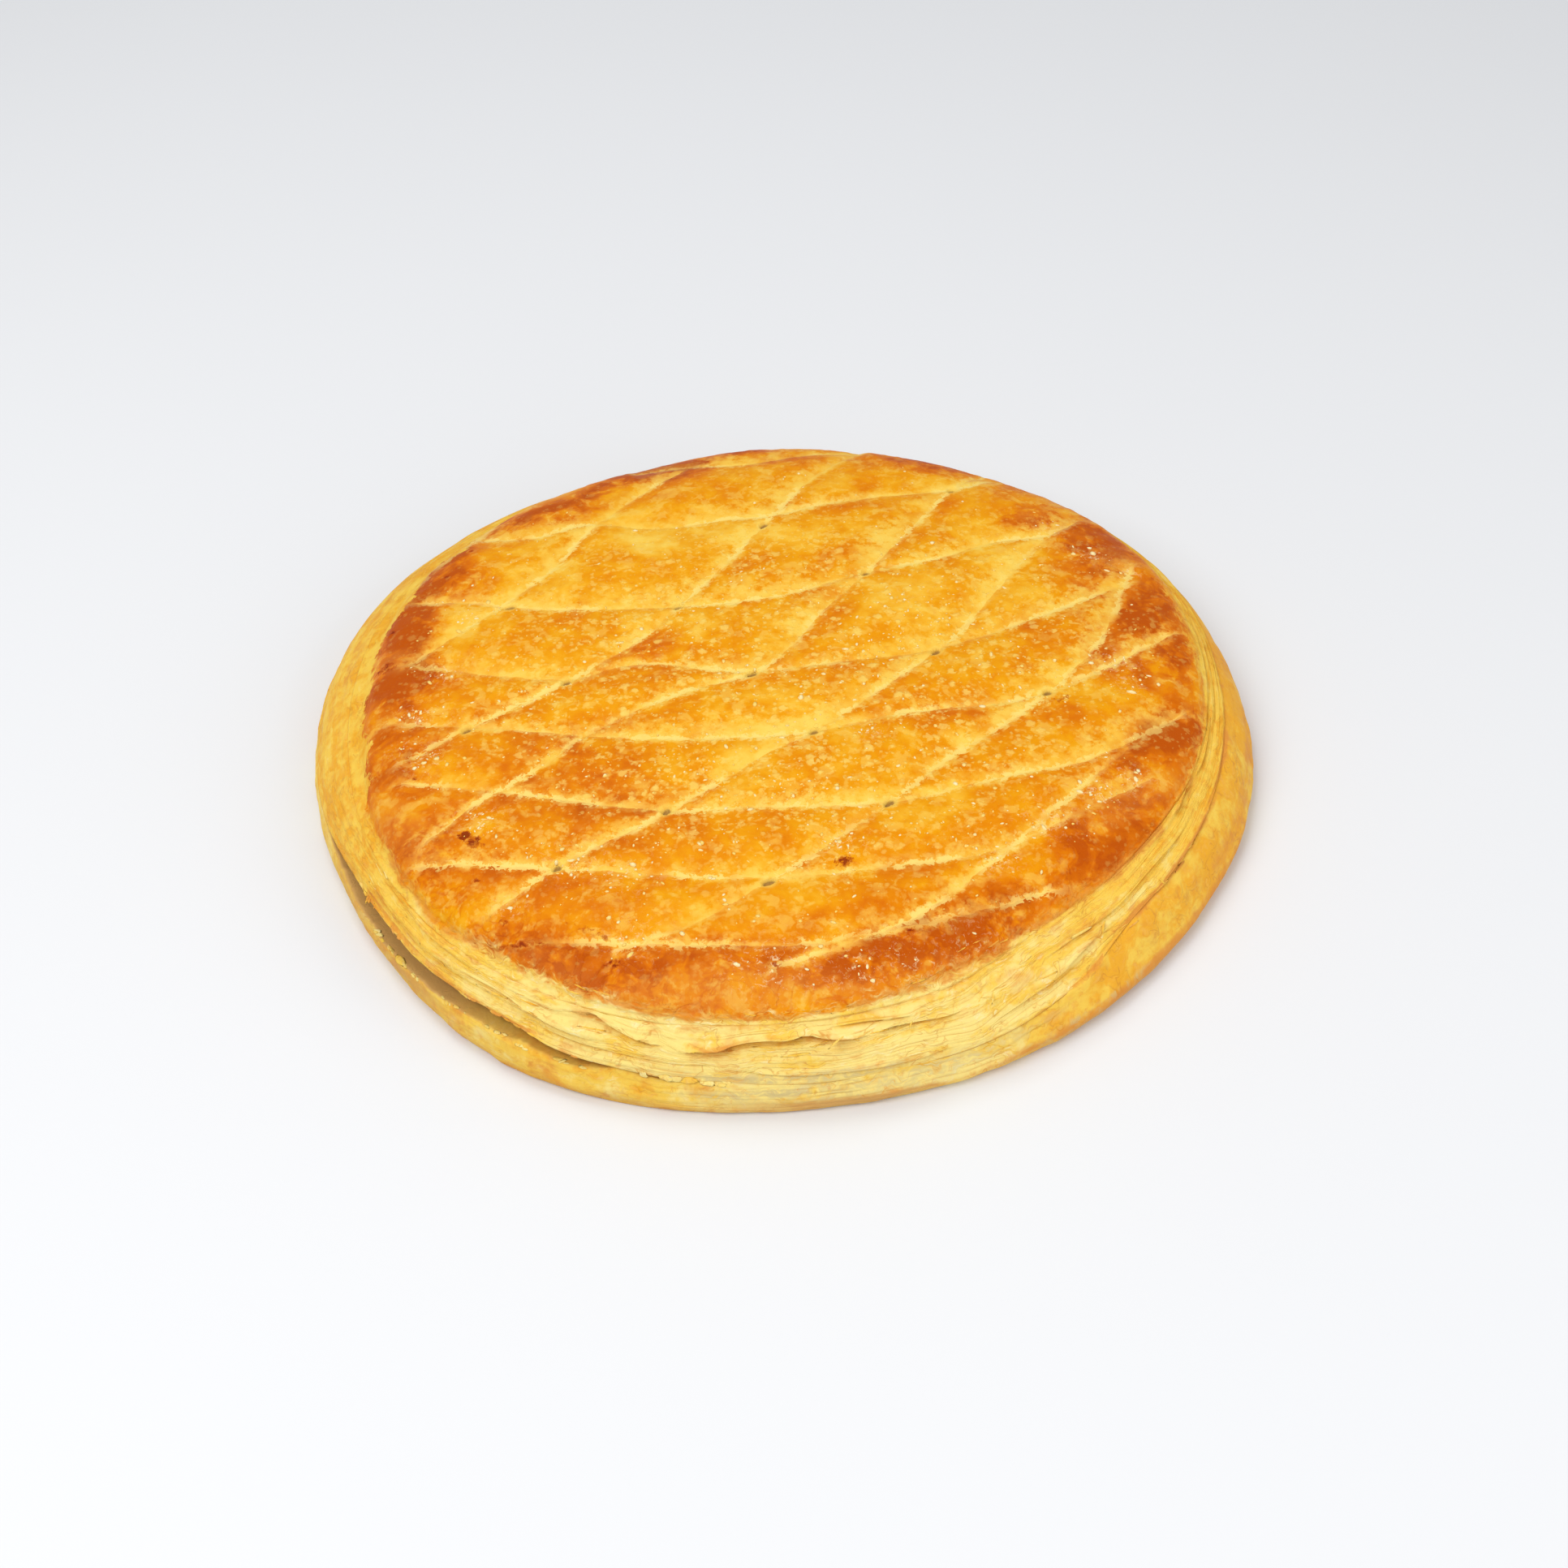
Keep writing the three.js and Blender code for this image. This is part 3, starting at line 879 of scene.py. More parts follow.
class Painter:
    """Wires the nodes of one material."""

    def __init__(self, name: str) -> None:
        """Start a material.

        Args:
            name: The material's name.
        """
        self.material = bpy.data.materials.new(name)
        self.material.use_nodes = True
        self.nodes = self.material.node_tree.nodes
        self.links = self.material.node_tree.links
        self.shader = self.nodes["Principled BSDF"]
        self.place = self.nodes.new("ShaderNodeTexCoord").outputs["Object"]
        self.latest: object = (0.0, 0.0, 0.0)

    def feed(self, socket: Socket, value: object) -> None:
        """Link a socket, or set it.

        Args:
            socket: The input to feed.
            value: Another node's output, a number, or a colour of three channels.
        """
        if isinstance(value, Socket):
            self.links.new(value, socket)
        elif isinstance(value, tuple) and socket.type == "RGBA":
            socket.default_value = (*value, 1.0)
        else:
            socket.default_value = value

    def read(self, name: str) -> Socket:
        """Read an attribute of the mesh; the argument is its name, the result its number."""
        node = self.nodes.new("ShaderNodeAttribute")
        node.attribute_name = name
        return node.outputs["Fac"]

    def sum(self, operation: str, *values: object) -> Socket:
        """Do one step of arithmetic.

        Args:
            operation: The Math node's operation.
            values: Numbers or sockets.

        Returns:
            The result.
        """
        node = self.nodes.new("ShaderNodeMath")
        node.operation = operation
        for socket, value in zip(node.inputs, values):
            self.feed(socket, value)
        return node.outputs[0]

    def times(self, *values: object) -> Socket:
        """Multiply two numbers or sockets, and return the product."""
        return self.sum("MULTIPLY", *values)

    def plus(self, *values: object) -> Socket:
        """Add two numbers or sockets, and return the total."""
        return self.sum("ADD", *values)

    def coat(self, amount: object, colour: object) -> None:
        """Lay some of a colour over the latest one."""
        self.latest = self.mix(amount, self.latest, colour)

    def wire(self, name: str, value: Socket) -> None:
        """Link one of the shader's inputs."""
        self.feed(self.shader.inputs[name], value)

    def ridge(self, value: object) -> Socket:
        """Measure how far a number is from 0.5, and return the distance."""
        return self.sum("ABSOLUTE", self.sum("SUBTRACT", value, 0.5))

    def step(
        self, value: object, low: object, high: object, start: object = 0.0, end: object = 1.0
    ) -> Socket:
        """Ease a number from start to end as it goes from low to high.

        Args:
            value: The number to ease.
            low: Where the step starts.
            high: Where it ends.
            start: The result at low.
            end: The result at high.

        Returns:
            The eased number.
        """
        node = self.nodes.new("ShaderNodeMapRange")
        node.interpolation_type = "SMOOTHSTEP"
        for socket, given in zip(node.inputs, (value, low, high, start, end)):
            self.feed(socket, given)
        return node.outputs[0]

    def mix(self, amount: object, below: object, above: object) -> Socket:
        """Lay one colour over another.

        Args:
            amount: How much of the upper colour shows.
            below: The lower colour.
            above: The upper colour.

        Returns:
            The mixed colour.
        """
        node = self.nodes.new("ShaderNodeMix")
        node.data_type = "RGBA"
        self.feed(node.inputs[0], amount)
        self.feed(node.inputs[6], below)
        self.feed(node.inputs[7], above)
        return node.outputs[2]

    def noise(
        self, cell: float, detail: float = 2.0, rough: float = 0.5, bent: float = 0.0, vector: object = None
    ) -> Socket:
        """Read noise.

        Args:
            cell: Size of its largest lumps, in millimetres.
            detail: How many finer layers it has.
            rough: Strength of the finer layers.
            bent: How much it is distorted.
            vector: Where to read it; the piece's own place if not given.

        Returns:
            A number of about 0.5.
        """
        node = self.nodes.new("ShaderNodeTexNoise")
        self.feed(node.inputs["Vector"], vector or self.place)
        node.inputs["Scale"].default_value = 1 / (cell * METRES)
        node.inputs["Detail"].default_value = detail
        node.inputs["Roughness"].default_value = rough
        node.inputs["Distortion"].default_value = bent
        return node.outputs["Fac"]

    def warped(self, cell: float, reach: float) -> Socket:
        """Bend the piece's place, so that dots lose their roundness.

        Args:
            cell: Size of the bends, in millimetres.
            reach: How far points are moved, in millimetres.

        Returns:
            The bent place.
        """
        noise = self.nodes.new("ShaderNodeTexNoise")
        self.feed(noise.inputs["Vector"], self.place)
        noise.inputs["Scale"].default_value = 1 / (cell * METRES)
        noise.inputs["Detail"].default_value = 1.0
        scaled = self.nodes.new("ShaderNodeVectorMath")
        scaled.operation = "SCALE"
        self.feed(scaled.inputs[0], noise.outputs["Color"])
        scaled.inputs["Scale"].default_value = reach * METRES
        added = self.nodes.new("ShaderNodeVectorMath")
        added.operation = "ADD"
        self.feed(added.inputs[0], self.place)
        self.feed(added.inputs[1], scaled.outputs[0])
        return added.outputs[0]

    def dots(self, cell: float, most: float, vector: object) -> Socket:
        """Scatter dots of many sizes.

        Args:
            cell: Distance between them, in millimetres.
            most: Radius of the largest, as a share of the cell.
            vector: Where to read them.

        Returns:
            1 in a dot and 0 outside.
        """
        cells = self.nodes.new("ShaderNodeTexVoronoi")
        self.feed(cells.inputs["Vector"], vector)
        cells.inputs["Scale"].default_value = 1 / (cell * METRES)
        split = self.nodes.new("ShaderNodeSeparateColor")
        self.feed(split.inputs[0], cells.outputs["Color"])
        radius = self.times(self.sum("POWER", split.outputs[0], 2.0), most)
        return self.step(cells.outputs["Distance"], radius, self.times(radius, 0.45))

    def ramp(self, value: object, stops: tuple[tuple[float, Colour], ...]) -> Socket:
        """Pick a colour along a ramp.

        Args:
            value: Place along the ramp.
            stops: Places from 0 to 1, each with its colour.

        Returns:
            The colour.
        """
        node = self.nodes.new("ShaderNodeValToRGB")
        self.feed(node.inputs[0], value)
        band = node.color_ramp.elements
        while len(band) < len(stops):
            band.new(0.5)
        for element, (at, colour) in zip(band, stops):
            element.position = at
            element.color = (*colour, 1.0)
        return node.outputs[0]

    def bump(self, height: object, depth: float, strength: float = 1.0, under: object = None) -> Socket:
        """Turn a height into shading.

        Args:
            height: The height, 0 to 1.
            depth: Millimetres from 0 to 1.
            strength: How much of it shows.
            under: Normals to lay it on, if any.

        Returns:
            The new normals.
        """
        node = self.nodes.new("ShaderNodeBump")
        self.feed(node.inputs["Height"], height)
        node.inputs["Distance"].default_value = depth * METRES
        node.inputs["Strength"].default_value = strength
        if under is not None:
            self.feed(node.inputs["Normal"], under)
        return node.outputs[0]


@dataclass(frozen=True)
class LeafCrumb:
    """Bare leaves at the side: cream, gold and amber, toasted on their edges, with painted shade in the
    creases, the clefts and the open seam.
    """

    name: str = "leaf_crumb"
    cream: Colour = seen(252, 226, 134)
    gold: Colour = seen(249, 205, 84)
    amber: Colour = seen(244, 176, 52)
    toast: Colour = seen(228, 150, 66)
    # The crease colour is painted shade in the creases between leaves; it also draws fine dark cracks.
    crease: Colour = seen(214, 140, 52)
    pale: Colour = seen(254, 240, 178)
    grey: Colour = seen(216, 194, 134)
    # The hollow colour is painted shade inside the open seam and on the bottom sheet's floor under it.
    hollow: Colour = seen(212, 164, 96)
    # The cleft colour is darker painted shade for the deepest creases, the ledges' hollows and the lid's
    # tuck.
    cleft_shade: Colour = seen(166, 118, 50)
    streak_height: float = 0.9

    def colour(self, paint: Painter) -> tuple[Socket, Socket]:
        """Wire the colour of bare leaves.

        Args:
            paint: The material's painter.

        Returns:
            The colour, and a streaky number for roughness and bump.
        """
        split = paint.nodes.new("ShaderNodeSeparateXYZ")
        paint.feed(split.inputs[0], paint.place)
        join = paint.nodes.new("ShaderNodeCombineXYZ")
        for axis in range(2):
            squeezed = paint.times(split.outputs[axis], 0.26)
            paint.feed(join.inputs[axis], squeezed)
        drift = paint.step(paint.noise(7, 2, 0.6), 0.25, 0.75, -1.6, 1.6)
        leaf = paint.plus(paint.read("leaf"), drift)
        paint.feed(join.inputs[2], paint.times(leaf, self.streak_height * METRES))
        along = join.outputs[0]
        streaks = paint.noise(1.1, 3, 0.6, vector=along)
        broad = paint.noise(4.2, 2, 0.5, vector=along)
        blotch = paint.noise(10, 3, 0.55)
        patch = paint.noise(2.8, 3, 0.65, 0.3)
        crack = paint.ridge(paint.noise(2.1, 2, 0.5, 0.4, along))
        crack = paint.times(paint.step(crack, 0.028, 0.0), paint.step(blotch, 0.42, 0.58))
        streaks = paint.sum("SUBTRACT", streaks, paint.times(crack, 0.25))
        tone = paint.plus(paint.read("tone"), paint.step(blotch, 0.3, 0.7, -0.35, 0.35))
        tone = paint.plus(tone, paint.step(broad, 0.3, 0.7, -0.4, 0.4))
        tone = paint.plus(tone, paint.step(patch, 0.3, 0.7, -0.3, 0.3))
        tone = paint.plus(tone, paint.step(streaks, 0.3, 0.7, -0.25, 0.25))
        paint.latest = paint.mix(paint.step(tone, 0.0, 1.0), self.cream, self.gold)
        paint.coat(paint.step(tone, 1.0, 2.0), self.amber)
        pale = paint.times(paint.step(streaks, 0.5, 0.7), paint.step(patch, 0.4, 0.65, 0.15, 0.9))
        pale = paint.times(pale, paint.step(paint.read("tone"), 1.2, 0.5, 0.15, 1.0))
        paint.coat(pale, self.pale)
        grey = paint.times(paint.read("grey"), paint.step(streaks, 0.35, 0.6))
        paint.coat(grey, self.grey)
        patchy = paint.step(paint.noise(6, 3, 0.6), 0.35, 0.65, -0.25, 0.25)
        patchy = paint.plus(patchy, paint.step(streaks, 0.3, 0.7, 0.15, -0.15))
        toast = paint.step(paint.plus(paint.read("toast"), patchy), 0.1, 1.0, 0.0, 0.9)
        paint.coat(toast, self.toast)
        bits = paint.ridge(paint.noise(1.7, 3, 0.6, 0.8, along))
        bits = paint.times(paint.step(bits, 0.02, 0.0), paint.step(patch, 0.46, 0.6))
        paint.coat(paint.times(bits, 0.45), self.toast)
        # Fine dark cracks, then painted shade: the crease colour where deep marks a crease, the cleft colour
        # where it is deepest, the hollow colour inside the open seam.
        paint.coat(paint.times(crack, 0.5), self.crease)
        paint.coat(paint.times(paint.read("deep"), 0.7), self.crease)
        paint.coat(paint.step(paint.read("deep"), 0.6, 1.0, 0.0, 0.55), self.cleft_shade)
        paint.coat(paint.read("hollow"), self.hollow)
        return paint.latest, streaks

    def build(self) -> Material:
        """Make the material and return it."""
        paint = Painter(self.name)
        streaks = self.colour(paint)[1]
        paint.wire("Base Color", paint.latest)
        paint.wire("Roughness", paint.step(streaks, 0.3, 0.7, 0.5, 0.68))
        paint.shader.inputs["Specular IOR Level"].default_value = 0.08
        fine = paint.bump(paint.noise(0.7, 2, 0.6), 0.12, 0.5)
        paint.wire("Normal", paint.bump(streaks, 0.35, 0.6, fine))
        return paint.material


@dataclass(frozen=True)
class LidGlaze:
    """Egg-washed lid: honey gold in the middle, browned at the rim, pale along the cuts."""

    crumb: LeafCrumb
    name: str = "lid_glaze"
    browning: tuple[tuple[float, Colour], ...] = (
        (0.0, seen(254, 210, 88)),
        (0.2, seen(250, 187, 54)),
        (0.38, seen(243, 164, 28)),
        (0.55, seen(236, 144, 12)),
        (0.75, seen(222, 117, 2)),
        (1.0, seen(194, 88, 0)),
    )
    flank: Colour = seen(253, 214, 100)
    cut: Colour = seen(254, 224, 126)
    rosy_and_sheen: Colour = seen(222, 144, 74)
    burnt: Colour = seen(138, 48, 6)
    scorched: Colour = seen(186, 78, 6)
    # The vent colour is painted shade inside the vent holes.
    vent: Colour = seen(150, 108, 66)
    freckle: Colour = seen(254, 220, 114)
    ember: Colour = seen(228, 132, 8)
    flaky: Colour = seen(255, 232, 178)

    def cuts(self, paint: Painter, family: Family, wander: float, reach: float) -> tuple[Socket, ...]:
        """Read one family of cuts.

        Args:
            paint: The material's painter.
            family: The family of cuts.
            wander: Size of the bends in the cuts' edges, in millimetres.
            reach: Size of the stretches over which a cut is strong or faint, in millimetres.

        Returns:
            How much the pale flank, the cut itself and the dark lip in front of it show.
        """
        gap, on, width = (paint.read(f"{family.value}_{part}") for part in ("gap", "on", "pale"))
        waver = paint.sum("DIVIDE", paint.step(paint.noise(wander, 3, 0.6), 0.25, 0.75, -0.45, 0.45), gap)
        share = paint.sum("FRACT", paint.plus(paint.read(family.value), waver))
        behind = paint.times(share, gap)
        ahead = paint.sum("SUBTRACT", gap, behind)
        strong = paint.step(paint.noise(reach, 2, 0.6), 0.36, 0.62, 0.25, 1.0)
        ragged = paint.step(paint.noise(3.2, 4, 0.7), 0.3, 0.7, 0.25, 1.75)
        width = paint.times(width, ragged)
        flank = paint.step(behind, paint.times(width, 2.1), 0.0)
        flank = paint.times(paint.sum("POWER", flank, 1.5), strong)
        facing = paint.step(paint.noise(reach * 0.8, 2, 0.5, 0.3), 0.45, 0.65, 0.1, 0.9)
        near = paint.times(paint.step(ahead, paint.times(ragged, 2.4), 0.1), facing)
        fine = paint.step(paint.noise(2.0, 3, 0.7, 0.5), 0.36, 0.64, 0.1, 2.1)
        cut = paint.step(paint.sum("MINIMUM", behind, ahead), fine, paint.times(fine, 0.45))
        drawn = paint.step(paint.noise(reach * 0.9, 3, 0.6), 0.4, 0.58, 0.1, 0.85)
        cut = paint.times(cut, drawn)
        cut = paint.times(cut, paint.step(paint.read("brown"), 0.5, 1.0, 1.0, 0.45))
        lip = paint.times(paint.step(ahead, 10.0, 0.5), paint.step(facing, 0.1, 0.9, 1.0, 0.35))
        parts = (paint.sum("MAXIMUM", flank, near), cut, lip)
        return tuple(paint.times(part, on) for part in parts)

    def build(self) -> Material:
        """Make the material and return it."""
        paint = Painter(self.name)
        side, streaks = self.crumb.colour(paint)
        steep = self.cuts(paint, Family.STEEP, 5.0, 17.0)
        shallow = self.cuts(paint, Family.SHALLOW, 6.0, 21.0)
        flank, cut, lip = (paint.sum("MAXIMUM", first, second) for first, second in zip(steep, shallow))
        bent = paint.warped(1.4, 1.3)
        blotch = paint.noise(15, 4, 0.6, 0.4)
        mottle = paint.noise(4.2, 2, 0.5, 0.4)
        tan = paint.plus(paint.read("brown"), paint.step(blotch, 0.28, 0.72, -0.17, 0.17))
        tan = paint.plus(tan, paint.step(mottle, 0.28, 0.72, 0.07, -0.06))
        tan = paint.plus(tan, paint.step(paint.noise(40, 2, 0.5), 0.35, 0.65, -0.09, 0.09))
        rim = paint.step(paint.read("brown"), 0.5, 0.8)
        licked = paint.step(paint.noise(7, 3, 0.6, 0.7), 0.46, 0.66, 0.05, -0.22)
        tan = paint.sum("MULTIPLY_ADD", rim, licked, tan)
        fold = paint.ridge(paint.noise(8, 3, 0.6, 0.5))
        fold = paint.times(paint.step(fold, 0.05, 0.0), paint.read("wrinkle"))
        tan = paint.sum("MULTIPLY_ADD", fold, 0.14, tan)
        tan = paint.sum("MULTIPLY_ADD", lip, 0.13, tan)
        tan = paint.sum("MULTIPLY_ADD", flank, -0.22, tan)
        paint.latest = paint.ramp(tan, self.browning)
        spread = paint.read("freckle")
        fields = paint.step(paint.noise(24, 2, 0.5), 0.4, 0.6, 0.25, 0.9)
        fields = paint.times(fields, paint.step(tan, 0.9, 0.5, 0.15, 1.0))
        wide = paint.step(paint.noise(4.6, 3, 0.6, 0.4), 0.53, 0.62, 0.0, 0.35)
        narrow = paint.times(paint.step(paint.noise(1.9, 2, 0.5, 0.25), 0.57, 0.66, 0.0, 0.52), fields)
        paint.coat(paint.times(wide, paint.step(tan, 0.85, 0.5)), self.flank)
        paint.coat(paint.times(narrow, paint.step(spread, 0.2, 1.0, 0.45, 1.0)), self.freckle)
        ember = paint.times(paint.dots(3.4, 0.5, bent), paint.step(mottle, 0.6, 0.45, 0.0, 0.22))
        paint.coat(ember, self.ember)
        large = paint.times(paint.dots(2.9, 0.62, paint.warped(1.1, 1.9)), 0.6)
        small = paint.times(paint.dots(1.5, 0.6, paint.warped(0.8, 0.9)), 0.5)
        freckle = paint.times(paint.sum("MAXIMUM", large, small), spread)
        paint.coat(freckle, self.freckle)
        broken = paint.step(mottle, 0.3, 0.6, 0.55, 1.0)
        pale = paint.times(flank, paint.step(paint.read("brown"), 1.1, 0.4, 0.35, 0.75))
        paint.coat(paint.times(pale, broken), self.flank)
        paint.coat(cut, self.cut)
        # Rosy tan with a painted sheen on the browned rim.
        paint.coat(paint.times(paint.read("rosy_and_sheen"), 0.62), self.rosy_and_sheen)
        flaky = paint.step(paint.noise(1.5, 4, 0.75, 0.8), 0.55, 0.64, 0.0, 0.6)
        paint.coat(paint.times(flaky, paint.read("flaky")), self.flaky)
        edge = paint.plus(paint.read("edge"), paint.step(paint.noise(2.2, 3, 0.6), 0.3, 0.7, -0.8, 0.8))
        edge = paint.plus(edge, paint.step(streaks, 0.3, 0.7, -1.1, 1.1))
        bare = paint.step(edge, paint.times(paint.read("fade"), -1), paint.read("fade"))
        paint.coat(bare, side)
        crust = paint.step(paint.noise(2.2, 4, 0.7, 0.6), 0.3, 0.7, -0.75, 0.5)
        crust = paint.plus(paint.read("burnt"), crust)
        scorched = paint.times(paint.read("burnt"), 4.0)
        crust = paint.times(crust, paint.sum("MINIMUM", scorched, 1.0))
        paint.coat(paint.step(crust, 0.1, 0.6, 0.0, 0.7), self.scorched)
        paint.coat(paint.step(crust, 0.6, 1.0, 0.0, 0.85), self.burnt)
        # A pale cut edge round each vent, and painted shade in the hole.
        hole = paint.read("vent")
        paint.coat(paint.step(hole, 0.02, 0.3, 0.0, 0.55), self.flank)
        paint.coat(paint.step(hole, 0.55, 0.95, 0.0, 0.8), self.vent)
        paint.wire("Base Color", paint.latest)
        wax = paint.step(blotch, 0.3, 0.7, 0.34, 0.46)
        paint.wire("Roughness", paint.step(bare, 0.0, 1.0, wax, 0.6))
        paint.shader.inputs["Specular IOR Level"].default_value = 0.03
        fine = paint.bump(paint.noise(0.9, 3, 0.6), 0.16, 0.5)
        soft = paint.bump(mottle, 0.3, 0.6, fine)
        raised = paint.bump(paint.sum("SUBTRACT", freckle, paint.times(fold, 0.5)), 0.22, 0.8, soft)
        paint.wire("Normal", paint.bump(paint.times(streaks, bare), 0.35, 0.6, raised))
        return paint.material


@dataclass(frozen=True)
class BlisterGlaze:
    """Small blisters and grains on the lid, from honey yellow to white; the white is partly the grains' own
    and partly a painted glint.
    """

    name: str = "blister_glaze"
    dull: Colour = seen(253, 214, 110)
    # The white end is partly the grains' own colour and partly a painted glint.
    white_and_glint: Colour = seen(255, 238, 184)

    def build(self) -> Material:
        """Make the material and return it."""
        paint = Painter(self.name)
        speckle = paint.noise(0.6, 1, 0.5)
        shine = paint.plus(paint.read("shine"), paint.step(speckle, 0.3, 0.7, -0.12, 0.12))
        colour = paint.mix(paint.step(shine, 0.1, 0.9), self.dull, self.white_and_glint)
        paint.wire("Base Color", colour)
        paint.shader.inputs["Roughness"].default_value = 0.35
        paint.shader.inputs["Specular IOR Level"].default_value = 0.2
        return paint.material


def polar(radius: Array, angle: Array, height: Array) -> Array:
    """Turn millimetres and radians round the axis into rows of x, y and z, in metres."""
    return np.stack([radius * np.cos(angle), radius * np.sin(angle), height], -1).reshape(-1, 3) * METRES


@dataclass
class Lid:
    """The egg-washed top leaf: a low dome, cut crosswise, that rolls over the shoulder to its lip."""

    name: str = "lid"
    across: int = 288
    top_rings: int = 118
    shoulder_rings: int = 18
    under_rings: int = 8
    under_step: float = 1.0
    puff: float = 1.35
    puff_width: float = 9.0
    cut_depth: float = 0.1
    lip_width: float = 1.0
    lip_rise: float = 0.02
    vent_length: float = 3.0
    vent_width: float = 1.7
    vent_depth: float = 1.2
    inner_height: float = 12.0
    sag: Stations = Stations(((0, 0, 0), (1, 0.5, -0.45), (2, 0.1, -1.4), (3, -1.2, -2.4), (4, -1.6, -3.2)))
    families: tuple[ScoreFamily, ...] = (STEEP, SHALLOW)
    grain: Grain = field(default_factory=lambda: Grain(11))

    def build(self) -> Piece:
        """Model the lid, and return it without its material."""
        piece = self.disc()
        for family in self.families:
            self.slice_along(piece, family)
        self.refine(piece)
        self.form(piece)
        return piece

    def lip(self, angle: Array) -> Array:
        """Length of the shoulder down to the lip, in millimetres, at angles in radians."""
        return LIP.at(np.degrees(angle) % 360)[..., 0] * SIDE_LENGTH

    def disc(self) -> Piece:
        """Round a square grid into a flat disc of the unrolled lid, in millimetres, and return it."""
        bpy.ops.object.select_all(action="DESELECT")
        bpy.ops.mesh.primitive_grid_add(x_subdivisions=self.across, y_subdivisions=self.across, size=2)
        piece = Workbench.added(self.name)
        flat = Workbench.corners(piece)
        x, y = flat[:, 0], flat[:, 1]
        level = np.maximum(np.abs(x), np.abs(y))
        wide = np.abs(x) >= np.abs(y)
        safe = np.where(level > 0, level, 1)
        angle = np.where(
            wide, pi / 4 * y / np.where(wide, np.where(x == 0, safe, x), 1) + np.where(x < 0, pi, 0),
            pi / 2 - pi / 4 * x / np.where(wide, 1, np.where(y == 0, safe, y)) + np.where(y < 0, pi, 0),
        )
        rings = level * (self.top_rings + self.shoulder_rings + self.under_rings)
        over = np.clip((rings - self.top_rings) / self.shoulder_rings, 0, 1)
        under = np.maximum(rings - self.top_rings - self.shoulder_rings, 0)
        radius = RIM.reach(angle) * np.minimum(rings / self.top_rings, 1)
        radius = radius + over * self.lip(angle) + under * self.under_step
        Workbench.shape(piece, np.stack([radius * np.cos(angle), radius * np.sin(angle), 0 * angle], -1))
        return piece

    def slice_along(self, piece: Piece, family: ScoreFamily) -> None:
        """Cut the disc's faces along each score, and along the foot of its ramp.

        Args:
            piece: The flat disc.
            family: The scores.
        """
        for score in family.scores:
            curve = score.run(family.heading)
            first, last = curve.points[0][0], curve.points[-1][0]
            flat = Workbench.corners(piece)
            along, across = turned(flat[:, 0], flat[:, 1], family.heading)
            bow = curve.at(np.clip(along, first, last))[..., 0]
            Workbench.shape(piece, np.stack([along, across - bow, 0 * along], -1))
            Workbench.pick(piece)
            bpy.ops.object.mode_set(mode="EDIT")
            for place in (-self.lip_width, 0.0):
                bpy.ops.mesh.select_all(action="SELECT")
                bpy.ops.mesh.bisect(plane_co=(0, place, 0), plane_no=(0, 1, 0), threshold=0.08)
            bpy.ops.object.mode_set(mode="OBJECT")
            flat = Workbench.corners(piece)
            for place in (-self.lip_width, 0.0):
                flat[np.abs(flat[:, 1] - place) < 0.081, 1] = place
            bow = curve.at(np.clip(flat[:, 0], first, last))[..., 0]
            x, y = turned(flat[:, 0], flat[:, 1] + bow, -family.heading)
            Workbench.shape(piece, np.stack([x, y, 0 * x], -1))

    def refine(self, piece: Piece) -> None:
        """Give the faces round each vent and burnt fleck a finer mesh.

        Args:
            piece: The flat disc.
        """
        faces = piece.data.polygons
        middle = np.empty(len(faces) * 3)
        faces.foreach_get("center", middle)
        middle = middle.reshape(-1, 3)
        near = np.zeros(len(faces), bool)
        for x, y in VENTS:
            near |= np.hypot(middle[:, 0] - x, middle[:, 1] - y) < self.vent_length * 0.75
        for patch in BURNT:
            near |= np.hypot(middle[:, 0] - patch.x, middle[:, 1] - patch.y) < patch.long + 0.5
        Workbench.pick(piece)
        Workbench.choose(piece, "FACE", near)
        bpy.ops.mesh.subdivide(number_cuts=1)
        bpy.ops.mesh.select_mode(type="VERT")
        bpy.ops.object.mode_set(mode="OBJECT")

    def vents(self, x: Array, y: Array) -> Array:
        """How deep inside a vent each point lies, 0 to 1.

        Args:
            x: Points' x.
            y: Points' y.

        Returns:
            The share of the vent's depth.
        """
        deep = np.zeros_like(x)
        dice = np.random.default_rng(5)
        for here_x, here_y in VENTS:
            along, across = turned(x - here_x, y - here_y, dice.uniform(15, 60))
            long = self.vent_length / 2 * dice.uniform(0.75, 1.15)
            far = np.hypot(along / long, across / (self.vent_width / 2))
            hole = 0.4 * smooth(np.hypot(x - here_x, y - here_y), 3.2, 0.8) + 0.6 * smooth(far, 1.5, 0.6)
            deep = np.maximum(deep, hole)
        return deep

